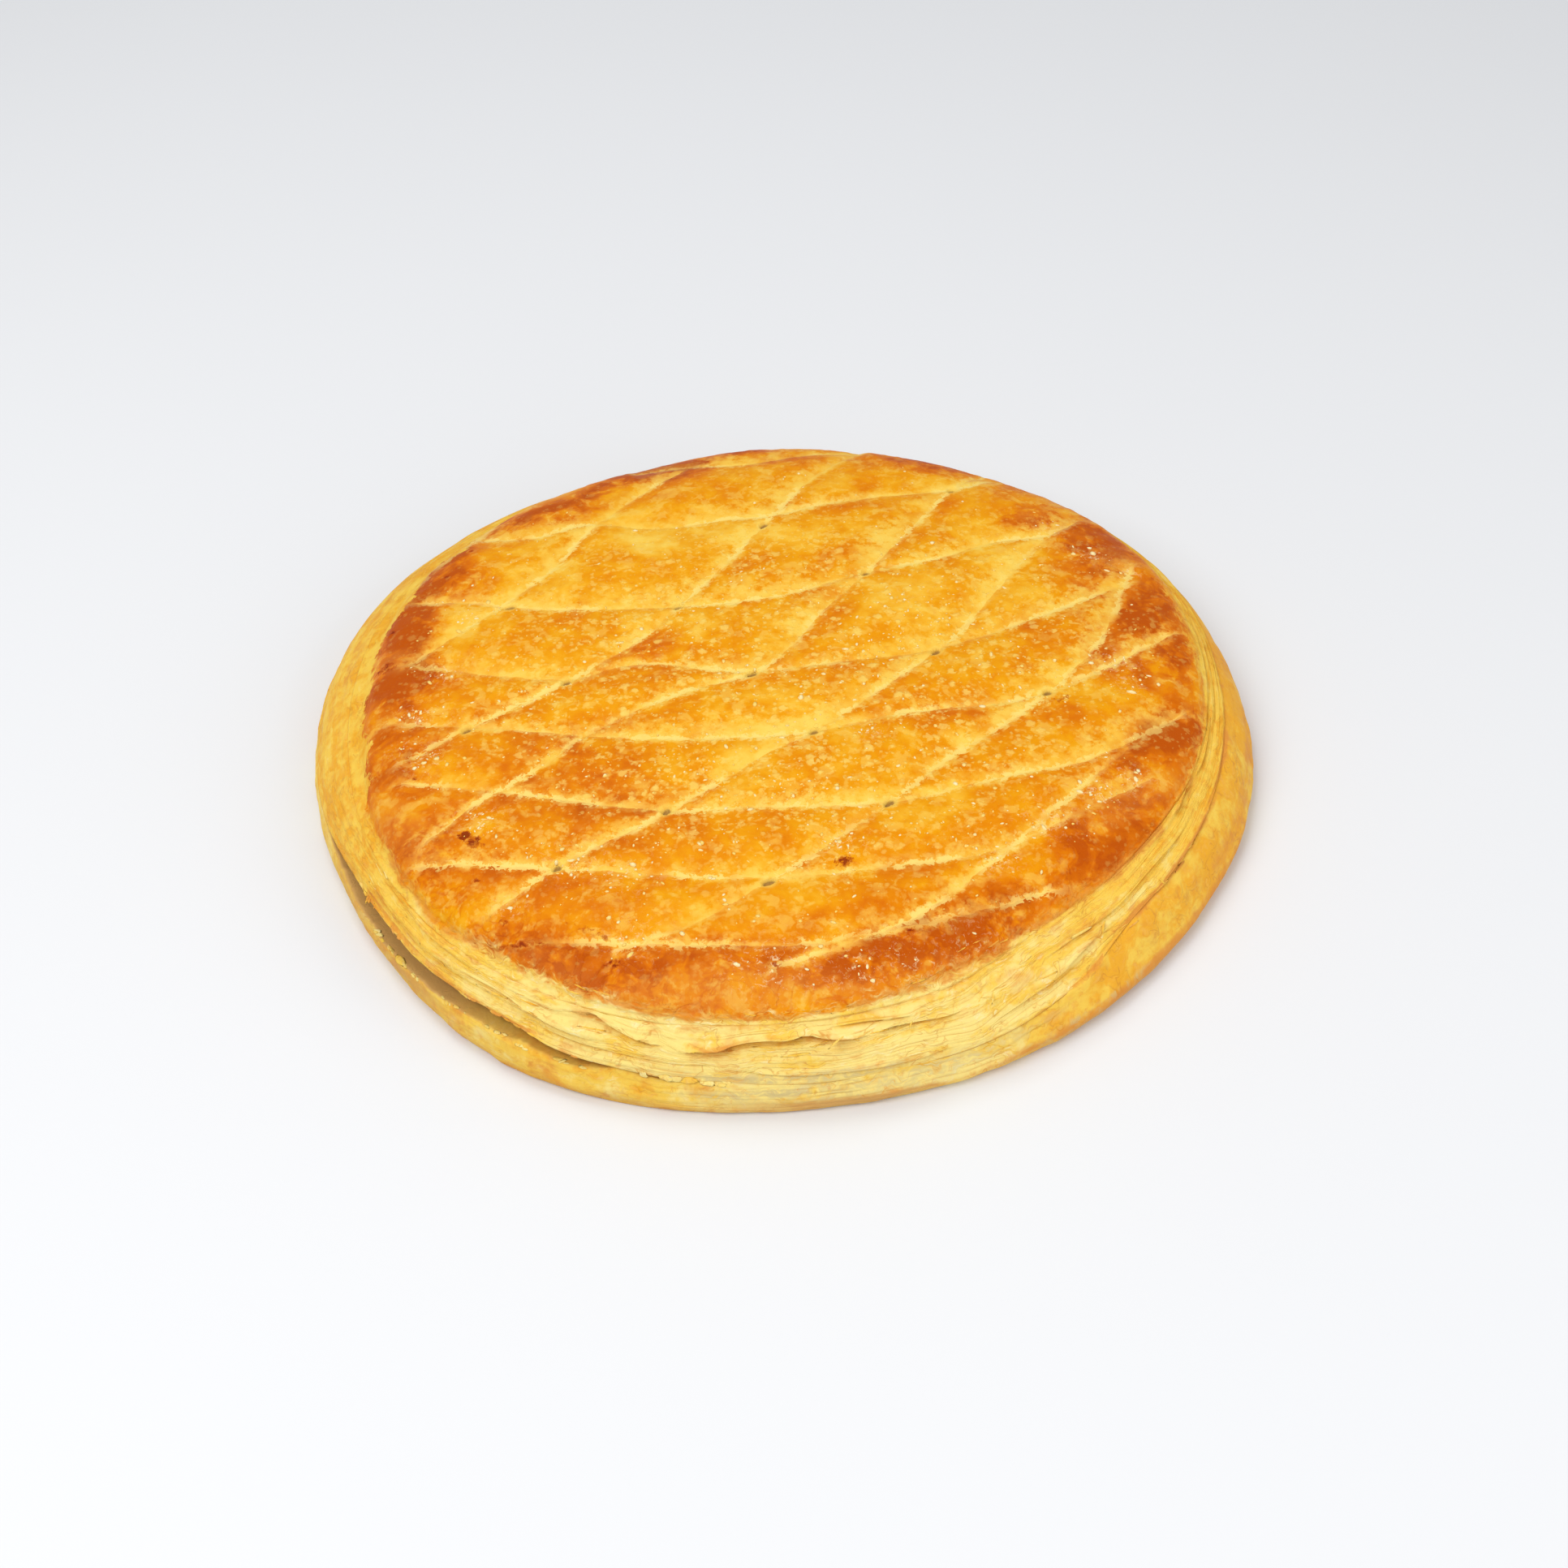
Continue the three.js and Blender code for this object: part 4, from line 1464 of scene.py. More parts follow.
    def form(self, piece: Piece) -> None:
        """Raise the disc into the lid, and note what its finish reads.

        Args:
            piece: The flat disc, cut.
        """
        flat = Workbench.corners(piece)
        x, y = flat[:, 0], flat[:, 1]
        angle, run = np.arctan2(y, x), np.hypot(x, y)
        rim, lip = RIM.reach(angle), self.lip(angle)
        share = np.minimum(run / rim, 1)
        down = np.clip(run - rim, 0, lip)
        tuck = np.maximum(run - rim - lip, 0) / self.under_step
        degrees = np.degrees(angle) % 360
        relief, nearest = np.zeros_like(x), np.full_like(x, 99.0)
        fade = smooth(run - rim, 4.0, -2.0)
        for family, scores in zip(Family, self.families):
            read = scores.read(x, y)
            wobble = self.grain.layered(x / 7, y / 7, 3.0, 2)
            for away, width, ends in read:
                ramp = np.maximum(width * 1.3, 2.2) * (1 + 0.3 * wobble)
                open_cut = self.cut_depth * (0.75 + 0.08 * width)
                behind = np.clip(1 - np.maximum(away, 0) / ramp, 0, 1) ** 1.6
                ahead = smooth(-away, self.lip_width, 0.0)
                groove = np.where(away >= 0, behind, ahead)
                rise = self.lip_rise * np.exp(-(((away + self.lip_width * 1.8) / 1.1) ** 2))
                relief += ends * fade * (rise - open_cut * groove)
                nearest = np.minimum(nearest, np.abs(away) + (1 - ends) * 40)
            self.note_cuts(piece, family, read)
        relief += self.puff * (1 - np.exp(-nearest / self.puff_width)) * fade
        near_rim = smooth(rim - run, 16.0, 2.0)
        relief += 0.55 * self.grain.layered(x / 26, y / 26, 1.0, 2)
        relief += (0.14 + 0.16 * near_rim) * self.grain.layered(x / 6, y / 6, 5.0, 3)
        relief += 0.05 * self.grain.layered(x / 1.9, y / 1.9, 9.0, 2)
        crumple = 1 - np.abs(self.grain.layered(x / 13, y / 5, 13.0, 3)) * 2.4
        front = towards(degrees, 262, 75, 35) * near_rim
        relief -= 0.5 * front * np.clip(crumple, 0, 1) ** 3
        ridges = self.grain.layered(x / 22, y / 22, down * 1.1 + 33.0, 3)
        relief += 0.42 * ridges * smooth(down, 0.2, 1.6) * LEAFINESS.at(degrees)
        burnt = weigh(BURNT, x, y)
        relief += 0.25 * burnt * self.grain.layered(x / 1.1, y / 1.1, 2.0, 2)
        vents = self.vents(x, y)
        relief -= self.vent_depth * smooth(vents, 0.2, 0.95)

        stand = LIP.at(degrees)[..., 1]
        hang = smooth(down, lip * 0.3, lip)
        relief += stand * hang
        sag = self.sag.at(np.clip(tuck, 0, 4))
        top = SECTION.lid(angle, share)
        flank = SECTION.flank(angle, (down + sag[..., 0]) / SIDE_LENGTH)
        roll = smooth(run - rim, -3.0, 3.0)
        out = top[2] * (1 - roll) + flank[2] * roll
        up = top[3] * (1 - roll) + flank[3] * roll
        over = run > rim
        radius = np.where(over, flank[0], top[0])
        height = np.where(over, flank[1], top[1])
        relief = relief + sag[..., 1]
        radius, height = radius + relief * out, height + relief * up
        hidden = np.clip((tuck - 4) / (self.under_rings - 4.05), 0, 1)
        radius, height = radius * (1 - hidden), height * (1 - hidden) + self.inner_height * hidden
        Workbench.shape(piece, polar(radius, angle, height))
        self.note_tones(piece, x, y, degrees, run - rim)
        Workbench.note(
            piece,
            {
                "vent": vents,
                "wrinkle": front,
                "burnt": burnt + 0.25 * burnt * self.grain.at(x / 0.9, y / 0.9, 4.0),
                # deep: painted shade where the lid's edge turns under.
                "deep": 0.8 * smooth(tuck, 0.2, 2.0),
            },
        )
        Workbench.close(piece)

    def note_cuts(self, piece: Piece, family: Family, read: list[tuple[Array, ...]]) -> None:
        """Note where each point lies among one family's cuts.

        Args:
            piece: The lid.
            family: The family of cuts.
            read: Each cut's distance, width and share, from the back one to the front one.
        """
        beyond = 30.0
        ordered = read[::-1]
        gaps = [ordered[0][0]] + [one[0] for one in ordered]
        phase, gap = ordered[0][0] / beyond, np.full_like(gaps[0], beyond)
        pale, on = ordered[0][1].copy(), ordered[0][2].copy()
        for index in range(len(ordered)):
            here, width, ends = ordered[index]
            if index + 1 < len(ordered):
                after, next_width, next_ends = ordered[index + 1]
            else:
                after, next_width, next_ends = here - beyond, width, ends
            inside = here >= 0
            spacing = np.maximum(here - after, 4.0)
            part = np.clip(here / spacing, 0, 0.999)
            phase = np.where(inside, index + part, phase)
            gap = np.where(inside, spacing, gap)
            pale = np.where(inside, width * (1 - part) + next_width * part, pale)
            on = np.where(inside, ends * (1 - part) + next_ends * part, on)
        name = family.value
        Workbench.note(piece, {name: phase + 4, f"{name}_gap": gap, f"{name}_pale": pale, f"{name}_on": on})

    def note_tones(self, piece: Piece, x: Array, y: Array, degrees: Array, past_rim: Array) -> None:
        """Note how the oven coloured the lid.

        Args:
            piece: The lid.
            x: Points' x, unrolled.
            y: Points' y, unrolled.
            degrees: Angles in degrees.
            past_rim: How far past the rim each point lies, in millimetres.
        """
        brown = 0.38 + 0.07 * self.grain.layered(x / 30, y / 30, 21.0, 3)
        band = smooth(past_rim, -15.0, -2.0)
        rim_brown = RIM_BROWN.at(degrees)
        brown += 0.34 * band * (rim_brown + 0.35 * self.grain.layered(x / 14, y / 9, 23.0, 3))
        browned = np.max([patch.weigh(x, y) for patch in BROWNED], axis=0)
        ragged = 1 + 0.35 * self.grain.layered(x / 8, y / 6, 25.0, 3)
        brown += 0.36 * browned * ragged
        brown += weigh(TINTED, x, y) - 0.25 * weigh(LIGHT, x, y)
        rosy_and_sheen = 0.6 * weigh(ROSY_AND_SHEEN, x, y) * (0.7 + 0.5 * self.grain.layered(x / 5, y / 4, 27.0, 3))
        flaky = np.zeros_like(x)
        for cluster in CLUSTERS:
            near = np.hypot(x - cluster.x, (y - cluster.y) * 1.3) / cluster.reach
            flaky = np.maximum(flaky, smooth(np.float64(cluster.shine), 0.6, 0.95) * np.exp(-(near**2)))
        angle = np.radians(degrees)
        notch = self.grain.layered(np.cos(angle) * 13, np.sin(angle) * 13, 29.0, 3)
        border, fade = GLAZE_EDGE.at(degrees).T
        left = towards(degrees, 165, 42, 25)
        fall = past_rim / SIDE_LENGTH
        tanned = 0.45 * (1 - left) * smooth(past_rim - border, 3.5, 0.0)
        notes = {
            "brown": brown,
            "rosy_and_sheen": np.clip(rosy_and_sheen, 0, 1),
            "freckle": 0.25 + 0.75 * Patch(5, -5, 80, 66, 0, 1.0).weigh(x, y),
            "flaky": flaky,
            "edge": past_rim - border + 1.1 * notch,
            "fade": fade,
            "tone": SIDE_TONE.at(degrees) - weigh(CREAMED, degrees, fall),
            "toast": tanned + weigh(TOASTED, degrees, fall),
            "leaf": past_rim * 1.1,
            "grey": weigh(GREYED, degrees, fall),
            "hollow": 0 * x,
        }
        Workbench.note(piece, notes)


@dataclass
class LeafRing:
    """A ring of leaves round the axis: rows that show, and hidden rows before and after them."""

    name: str
    leaves: LeafStack
    grain: Grain
    steps: int = 720

    def columns(self) -> tuple[Array, Array, Array, Array]:
        """Find each column's angle in radians and in degrees, and its x and y on the side."""
        angle = np.arange(self.steps) * TURN / self.steps
        return angle, np.degrees(angle), np.cos(angle) * SIDE_REACH, np.sin(angle) * SIDE_REACH

    def assemble(
        self, before: list[Spot], shown: Spot, after: list[Spot], notes: dict[str, tuple[Array, Array, Array]]
    ) -> Piece:
        """Spin the ring, set its rows, and write its notes.

        Args:
            before: Radius and height, in millimetres, of each hidden row above those that show.
            shown: The radii and the heights of the rows that show.
            after: Radius and height of each hidden row below them.
            notes: For each attribute what the rows that show read, those before and those after.

        Returns:
            The finished piece, without its material.
        """
        radius, level = (
            np.vstack([spot[part] for spot in before] + [shown[part]] + [spot[part] for spot in after])
            for part in (0, 1)
        )
        piece = Workbench.ring(self.name, len(radius), self.steps)
        flat = Workbench.corners(piece)
        row = np.rint(np.hypot(flat[:, 0], flat[:, 1]) - 1).astype(int)
        column = np.rint(np.arctan2(flat[:, 1], flat[:, 0]) / TURN * self.steps).astype(int) % self.steps
        angle = self.columns()[0]
        Workbench.shape(piece, polar(radius[row, column], angle[column], level[row, column]))
        heights = (len(before), len(shown[0]), len(after))
        for name, (values, first, last) in notes.items():
            blocks = zip((first, values, last), heights)
            table = np.vstack([np.broadcast_to(block, (rows, self.steps)) for block, rows in blocks])
            Workbench.note(piece, {name: table[row, column]})
        Workbench.close(piece)
        return piece


@dataclass
class LayeredSide(LeafRing):
    """The ring of leaves between the lid's lip and the seam over the bottom sheet."""

    name: str = "side_leaves"
    leaves: LeafStack = LeafStack(count=22, seed=31, pinch=1.7, wander=0.2, crease=0.08)
    grain: Grain = field(default_factory=lambda: Grain(37))
    bundles: float = 0.8
    tuck: tuple[tuple[float, float], ...] = ((-0.13, -4.0), (-0.10, -2.6), (-0.06, -1.7), (-0.02, -1.1))

    def build(self) -> Piece:
        """Model the ring, and return it without its material."""
        angle, degrees, x, y = self.columns()
        lip = LIP.at(degrees)[..., 0]
        seam, gape, deep_gap = SEAM.at(degrees).T
        torn = self.grain.layered(x / 4, y / 4, 70.0, 3) * smooth(gape, 0.5, 1.5)
        seam_top = seam - (gape / 2 + 0.45 * torn) / SIDE_LENGTH
        leafiness = LEAFINESS.at(degrees)

        borders = self.leaves.borders(angle)
        fall = lip + borders * (seam_top - lip)
        fall = self.draw_to_ledges(fall, degrees)
        fall, height, crease, leaf = self.leaves.rows(fall, angle, leafiness)
        share = (fall - lip) / (seam_top - lip)
        for wide, strength in ((5.0, 1.0), (11.0, 0.45)):
            bundle = self.grain.layered(x / 38, y / 38, share * wide, 2)
            height = height + self.bundles * strength * leafiness * bundle
        height = height + 0.35 * self.grain.layered(x / 30, y / 30, share + 60, 2)
        ledge_shade = np.zeros_like(height)
        for ledge in LEDGES:
            step, shade = ledge.relief(degrees[None, :], fall + 1e-4)
            height += step
            ledge_shade = np.maximum(ledge_shade, shade * min(ledge.depth / 2.4, 1.0))
        height -= 0.2 * smooth(share, 0.07, 0.0)

        place = SECTION.flank(angle[None, :], fall)
        radius, level = place[0] + height * place[2], place[1] + height * place[3]
        last_radius, last_level = radius[-1], level[-1]
        roof = (0.04, 0.12, 0.3, 0.6, 1.0)
        inside = [(last_radius - deep_gap * part, last_level + 0.35 * part * gape) for part in roof]
        start = []
        for down, out in self.tuck:
            spot = SECTION.flank(angle, lip + down)
            start.append((spot[0] + out * spot[2], spot[1] + out * spot[3]))
        deepest, top = inside[-1], start[0]
        parts = (0.33, 0.66, 1.0)
        wall = [tuple(low * (1 - part) + high * part for low, high in zip(deepest, top)) for part in parts]
        toast = 0.32 * smooth(height, 0.1, 1.0) + 0.35 * smooth(share, 0.9, 1.0) * smooth(gape, 0.5, 2.0)
        toast += 0.15 * smooth(share, 0.14, 0.0) * towards(degrees, 165, 30, 50)
        toast += 0.6 * smooth(share, 0.86, 1.0) * towards(degrees, 335, 42, 22)
        toast += 0.5 * np.clip(self.grain.layered(x / 15, y / 15, share * 9 + 90, 3), 0, 1)
        toast += weigh(TOASTED, degrees, fall)
        tone = SIDE_TONE.at(degrees) - weigh(CREAMED, degrees, fall)
        # Painted shade at the top rows, under the lid's lip, and at the bottom rows where the seam is shut.
        edge_shade = 0.6 * smooth(share, 0.04, 0.0) + 0.85 * smooth(share, 0.975, 1.0) * smooth(gape, 1.2, 0.6)
        notes = {
            "leaf": (leaf, 0.0, self.leaves.count),
            "tone": (tone, 1.0, 1.0),
            "toast": (toast, 0.4, 0.3),
            # deep: painted shade in the creases, under the ledges and the lid's lip, and on the hidden rows.
            "deep": (np.clip(crease + ledge_shade + edge_shade, 0, 1), 1.0, 0.5),
            "grey": (weigh(GREYED, degrees, fall), 0.0, 0.0),
            # hollow: painted shade inside the open seam.
            "hollow": (0.0, 0.0, smooth(gape, 0.5, 1.6)),
        }
        return self.assemble(start, (radius, level), inside + wall, notes)

    def draw_to_ledges(self, fall: Array, degrees: Array) -> Array:
        """Bring a border between leaves onto each ledge's edge, and the others along with it.

        Args:
            fall: The borders' places down the side, a row each.
            degrees: Angles, one for each column.

        Returns:
            The moved borders.
        """
        moved = fall.copy()
        aims = [[] for _ in degrees]
        for ledge in LEDGES:
            first, last = ledge.points[0][0], ledge.points[-1][0]
            middle, half = (first + last) / 2, (last - first) / 2
            near = middle + turn_gap(degrees, middle)
            column = int(np.argmin(np.abs(near - middle)))
            curve = Stations(ledge.points)
            border = int(np.argmin(np.abs(fall[:, column] - curve.at(np.array([middle]))[0])))
            weight = smooth(np.abs(near - middle), half * 1.25, half * 0.8)
            wanted = curve.at(np.clip(near, first, last))
            for index in np.flatnonzero(weight > 0):
                aims[index].append((border, weight[index], wanted[index]))
        for index, wishes in enumerate(aims):
            if not wishes:
                continue
            wishes.sort()
            keys, goals = [fall[0, index]], [fall[0, index]]
            for border, weight, wanted in wishes:
                goal = fall[border, index] * (1 - weight) + wanted * weight
                if fall[border, index] > keys[-1] + 0.02 and goals[-1] + 0.02 < goal < fall[-1, index] - 0.02:
                    keys.append(fall[border, index])
                    goals.append(goal)
            keys.append(fall[-1, index])
            goals.append(fall[-1, index])
            moved[:, index] = np.interp(fall[:, index], keys, goals)
        return sum(np.roll(moved, step, axis=1) for step in (-2, -1, 0, 1, 2)) / 5


@dataclass
class BottomSheet(LeafRing):
    """The sheet the pie rests on: a floor to the open seam, a layered edge, and a flat underside."""

    name: str = "bottom_sheet"
    leaves: LeafStack = LeafStack(count=9, seed=51, pinch=1.2, wander=0.22, crease=0.12)
    grain: Grain = field(default_factory=lambda: Grain(57))
    foot: float = 1.16

    def build(self) -> Piece:
        """Model the sheet, and return it without its material."""
        angle, degrees, x, y = self.columns()
        seam, gape, deep_gap = SEAM.at(degrees).T
        torn = np.abs(self.grain.layered(x / 3, y / 3, 70.0, 3))
        torn += 0.8 * self.grain.layered(x / 9, y / 9, 75.0, 2)
        shut = smooth(gape, 0.9, 0.5) * (gape + 0.6)
        start = seam + (gape / 2 - 1.1 * torn * smooth(gape, 0.4, 1.2) - shut) / SIDE_LENGTH
        leafiness = 0.35 + 0.65 * towards(degrees, 275, 30, 12)
        borders = self.leaves.borders(angle)
        fall = start + borders * (self.foot - start)
        fall, height, crease, leaf = self.leaves.rows(fall, angle, leafiness)
        share = (fall - start) / (self.foot - start)
        bumps = self.grain.layered(x / 9, y / 9, share * 2.5, 3)
        height = height + 0.45 * bumps + 0.3 * self.grain.layered(x / 25, y / 25, 20.0, 2)
        height = height * smooth(share, 1.0, 0.85)
        height -= 0.5 * smooth(share, 0.08, 0.0)
        place = SECTION.flank(angle[None, :], fall)
        radius, level = place[0] + height * place[2], np.maximum(place[1] + height * place[3], 0)
        level[-1] = 0
        floor = [1.0, 0.65, 0.35, 0.15, 0.05]
        edge_radius, edge_level = radius[0], level[0]
        open_to = np.maximum(deep_gap, 2.0) + 2
        top = [(0 * x, 0 * x + 6.0), (edge_radius * 0.5, edge_level * 0.8)]
        top += [(edge_radius * 0.8, edge_level - 1.2)]
        top += [(edge_radius - open_to * part, edge_level - 0.9 * part) for part in floor]
        base = [(edge * radius[-1], 0 * x) for edge in (0.97, 0.7, 0.35, 0.0)]
        left = towards(degrees, 228, 40, 20)
        right = towards(degrees, 335, 45, 25)
        tone = 0.85 + 0.45 * left + 0.8 * right - 0.45 * towards(degrees, 275, 25, 10)
        tone = tone + 0.9 * left * self.grain.layered(x / 12, y / 12, share * 1.6 + 40, 2)
        back = towards(degrees, 85, 105, 70)
        tone = tone + 0.55 * back - weigh(CREAMED, degrees, fall)
        toast = 0.25 * smooth(share, 0.5, 0.95) + 0.5 * np.clip(bumps, 0, 1) + 0.22 * back
        toast += 0.6 * right * smooth(share, 0.1, 0.0)
        toast += left * np.clip(0.16 + 0.6 * self.grain.layered(x / 7, y / 7, share * 2 + 60, 3), 0, 0.7)
        toast += weigh(TOASTED, degrees, fall)
        # Painted shade on the floor of the open seam, under the side's overhang, and in the SHADED patches.
        dim = smooth(gape, 0.5, 1.6) * smooth(share, 0.05, 0.0) + weigh(SHADED, degrees, fall)
        warm = 1 - 0.7 * towards(degrees, 248, 24, 10)
        # Painted shadow on the lowest rows of the foot, at the right and at the front.
        shadow = smooth(fall, 0.92, 1.05) * towards(degrees, 318, 34, 12)
        shadow = shadow + 0.7 * smooth(fall, 0.98, 1.1) * towards(degrees, 260, 32, 16)
        notes = {
            "leaf": (leaf + 30, 30.0, 40.0),
            "tone": (tone, tone[0], tone[-1]),
            "toast": (toast, 0.2, 0.5),
            # deep: painted shade in the creases, and the painted shadow on the foot.
            "deep": (np.clip(crease * 0.7 + 0.5 * shadow, 0, 1), 0.2, 0.4),
            "grey": (weigh(GREYED, degrees, fall), 0.0, 0.0),
            # hollow: painted shade on the seam's floor.
            "hollow": (np.clip(dim * warm, 0, 1), warm * smooth(gape, 0.5, 1.6), 0.0),
        }
        return self.assemble(top, (radius, level), base, notes)


@dataclass(frozen=True)
class Cluster:
    """A crowd of blisters: its middle, its reach, how many and how white they are, the white partly a painted
    glint.
    """

    x: float
    y: float
    reach: float
    count: int
    shine: float


CLUSTERS = each(
    Cluster,
    (-93, -9, 5, 16, 1), (-88, -27, 6, 22, 0.9), (-94, -22, 4, 8, 1), (-74, -50, 6, 22, 1),
    (-72, -53, 3, 10, 1), (-50, -67, 8, 34, 0.8), (-38, -73, 8, 34, 0.8), (-60, -60, 8, 24, 0.6),
    (22, -28, 4, 8, 1), (77, -52, 6, 26, 0.95), (64, -60, 7, 22, 0.8), (50, -72, 6, 22, 0.8),
    (14, -66, 5, 20, 0.95), (40, -62, 10, 26, 0.6), (85, -46, 5, 12, 0.9), (-4, -101, 9, 16, 0.95),
    (14, -103, 6, 12, 1), (28, -101, 7, 14, 0.9), (42, -95, 7, 8, 0.8), (88, -3, 6, 16, 0.9),
    (90, -12, 5, 8, 0.8), (-82, 30, 4, 8, 0.9), (-86, 6, 5, 9, 0.9), (-83, -12, 7, 10, 0.7),
    (-57, -8, 12, 24, 0.6), (-35, 15, 12, 20, 0.7), (-10, -5, 16, 40, 0.5), (28, 6, 14, 40, 0.6),
    (45, 15, 10, 24, 0.6), (38, 25, 10, 24, 0.7), (88, 43, 5, 12, 0.9), (96, 36, 4, 6, 0.9),
    (79, 56, 4, 8, 0.8), (-20, -40, 16, 44, 0.6), (5, -45, 14, 34, 0.6), (-25, -62, 14, 34, 0.6),
    (-65, -78, 4, 6, 0.9), (-36, -92, 8, 14, 0.8), (-70, 30, 8, 10, 0.6), (60, -5, 14, 26, 0.5),
    (10, -15, 14, 30, 0.6), (-45, -40, 12, 24, 0.6),
)


@dataclass
class Blisters:
    """White and honey-coloured grains that stand on the lid's glaze; their white is partly a painted glint.
    """

    name: str = "lid_blisters"
    scattered: int = 1500
    crowding: float = 0.65
    size: float = 0.31
    spread: float = 0.40
    largest: float = 0.95
    seed: int = 71

    def places(self) -> tuple[Array, Array, Array, Array]:
        """Deal out the blisters, and return their x, y, radius and whiteness."""
        dice = np.random.default_rng(self.seed)
        x, y, shine = [], [], []
        for cluster in CLUSTERS:
            count = round(cluster.count * self.crowding)
            x.append(cluster.x + dice.normal(size=count) * cluster.reach * 0.55)
            y.append(cluster.y + dice.normal(size=count) * cluster.reach * 0.4)
            shine.append(cluster.shine * dice.uniform(0.3, 1.0, count))
        reach = 99 * np.sqrt(dice.uniform(size=self.scattered))
        angle = dice.uniform(0, TURN, self.scattered)
        x.append(reach * np.cos(angle))
        y.append(reach * np.sin(angle))
        shine.append(dice.uniform(0, 1, self.scattered) ** 2.2 * 0.8)
        x, y, shine = (np.concatenate(part) for part in (x, y, shine))
        grain = Grain(self.seed)
        dense = 0.62 + 0.5 * grain.layered(x / 24, y / 24, 1.0, 2) - 0.45 * smooth(y, 25, 75)
        keep = (dice.uniform(size=len(x)) < dense) | (np.arange(len(x)) < len(x) - self.scattered)
        keep &= np.hypot(x, y) < RIM.reach(np.arctan2(y, x)) * 0.985
        x, y, shine = x[keep], y[keep], shine[keep]
        radius = self.size * np.exp(self.spread * dice.normal(size=len(x))) * (0.8 + 0.5 * shine)
        return x, y, np.minimum(radius, self.largest), shine

    def build(self, lid: Piece) -> Piece:
        """Model the blisters on the lid.

        Args:
            lid: The finished lid.

        Returns:
            One piece that holds them all.
        """
        x, y, radius, shine = self.places()
        dice = np.random.default_rng(self.seed + 1)
        corners = Workbench.corners(lid) / METRES
        normals = Workbench.normals(lid)
        tree = Workbench.finder(corners * [1, 1, 0], np.flatnonzero(normals[:, 2] > 0.3))
        feet = np.array([tree.find((here_x, here_y, 0))[1] for here_x, here_y in zip(x, y)])
        bpy.ops.object.select_all(action="DESELECT")
        bpy.ops.mesh.primitive_ico_sphere_add(subdivisions=1, radius=1)
        piece = Workbench.added(self.name)
        ball = Workbench.corners(piece)
        faces = np.array([list(face.vertices) for face in piece.data.polygons])
        count = len(x)
        turn = dice.uniform(0, TURN, count)
        long, high = dice.uniform(0.8, 1.6, count), dice.uniform(0.35, 0.7, count)
        lumps = dice.uniform(0.75, 1.2, (count, len(ball), 1))
        grains = ball[None] * lumps * np.stack([long, 1 / long, high], 1)[:, None] * radius[:, None, None]
        cosine, sine = np.cos(turn)[:, None], np.sin(turn)[:, None]
        ahead, aside = grains[..., 0], grains[..., 1]
        grains = np.stack([ahead * cosine - aside * sine, ahead * sine + aside * cosine, grains[..., 2]], -1)
        foot = corners[feet] * [0, 0, 1] + np.stack([x, y, 0 * x], 1)
        slope = normals[feet, None]
        tilt = grains[..., 0] * slope[..., 0] + grains[..., 1] * slope[..., 1]
        grains[..., 2] -= tilt / slope[..., 2]
        joined = (faces[None] + len(ball) * np.arange(count)[:, None, None]).reshape(-1, 3)
        Workbench.refill(piece, (grains + foot[:, None]).reshape(-1, 3), joined.tolist())
        Workbench.note(piece, {"shine": np.repeat(shine, len(ball))})
        Workbench.pick(piece)
        bpy.ops.object.shade_smooth()
        return piece


@dataclass(frozen=True)
class FlakeRow:
    """Scales of pastry along one line of the side: where they lie, their half sizes and their looks."""

    points: tuple[tuple[float, float], ...]
    count: int
    long: float
    high: float
    lift: float
    tone: float
    toast: float
    strew: float = 0.008


FLAKE_ROWS = each(
    FlakeRow,
    (
        (
            (212, 0.87), (220, 0.85), (228, 0.8), (236, 0.76), (242, 0.78), (248, 0.76),
        ),
        30, 0.9, 0.35, 0.3, 0.4, 0.1, 0.012,
    ),
    (
        (
            (206, 0.64), (214, 0.62), (224, 0.61), (232, 0.6), (238, 0.6), (246, 0.69),
        ),
        26, 1.2, 0.3, 0.3, 1, 0.6,
    ),
    (((253, 0.715), (253.8, 0.715)), 1, 1.1, 1.3, 0.5, -0.9, 0, 0),
    (((254.6, 0.735), (258, 0.745), (263, 0.75)), 7, 1.6, 0.6, 0.4, 0.1, 0.1),
    (((240, 0.05), (262, 0.02), (280, 0.01), (300, -0.05)), 22, 1.7, 0.2, 0.16, 1.5, 0.7, 0.035),
    (((303, 0.66), (310, 0.56), (318, 0.465), (330, 0.42), (345, 0.35)), 8, 2.2, 0.28, 0.2, 1.2, 0.8),
    (
        (
            (208, 0.35), (240, 0.36), (275, 0.38), (310, 0.32), (330, 0.25),
        ),
        60, 2.4, 0.2, 0.14, 0.8, 0.25, 0.07,
    ),
    (((345, 0.15), (400, 0.25), (450, 0.3), (500, 0.3)), 24, 2.4, 0.2, 0.14, 1.4, 0.3, 0.06),
)


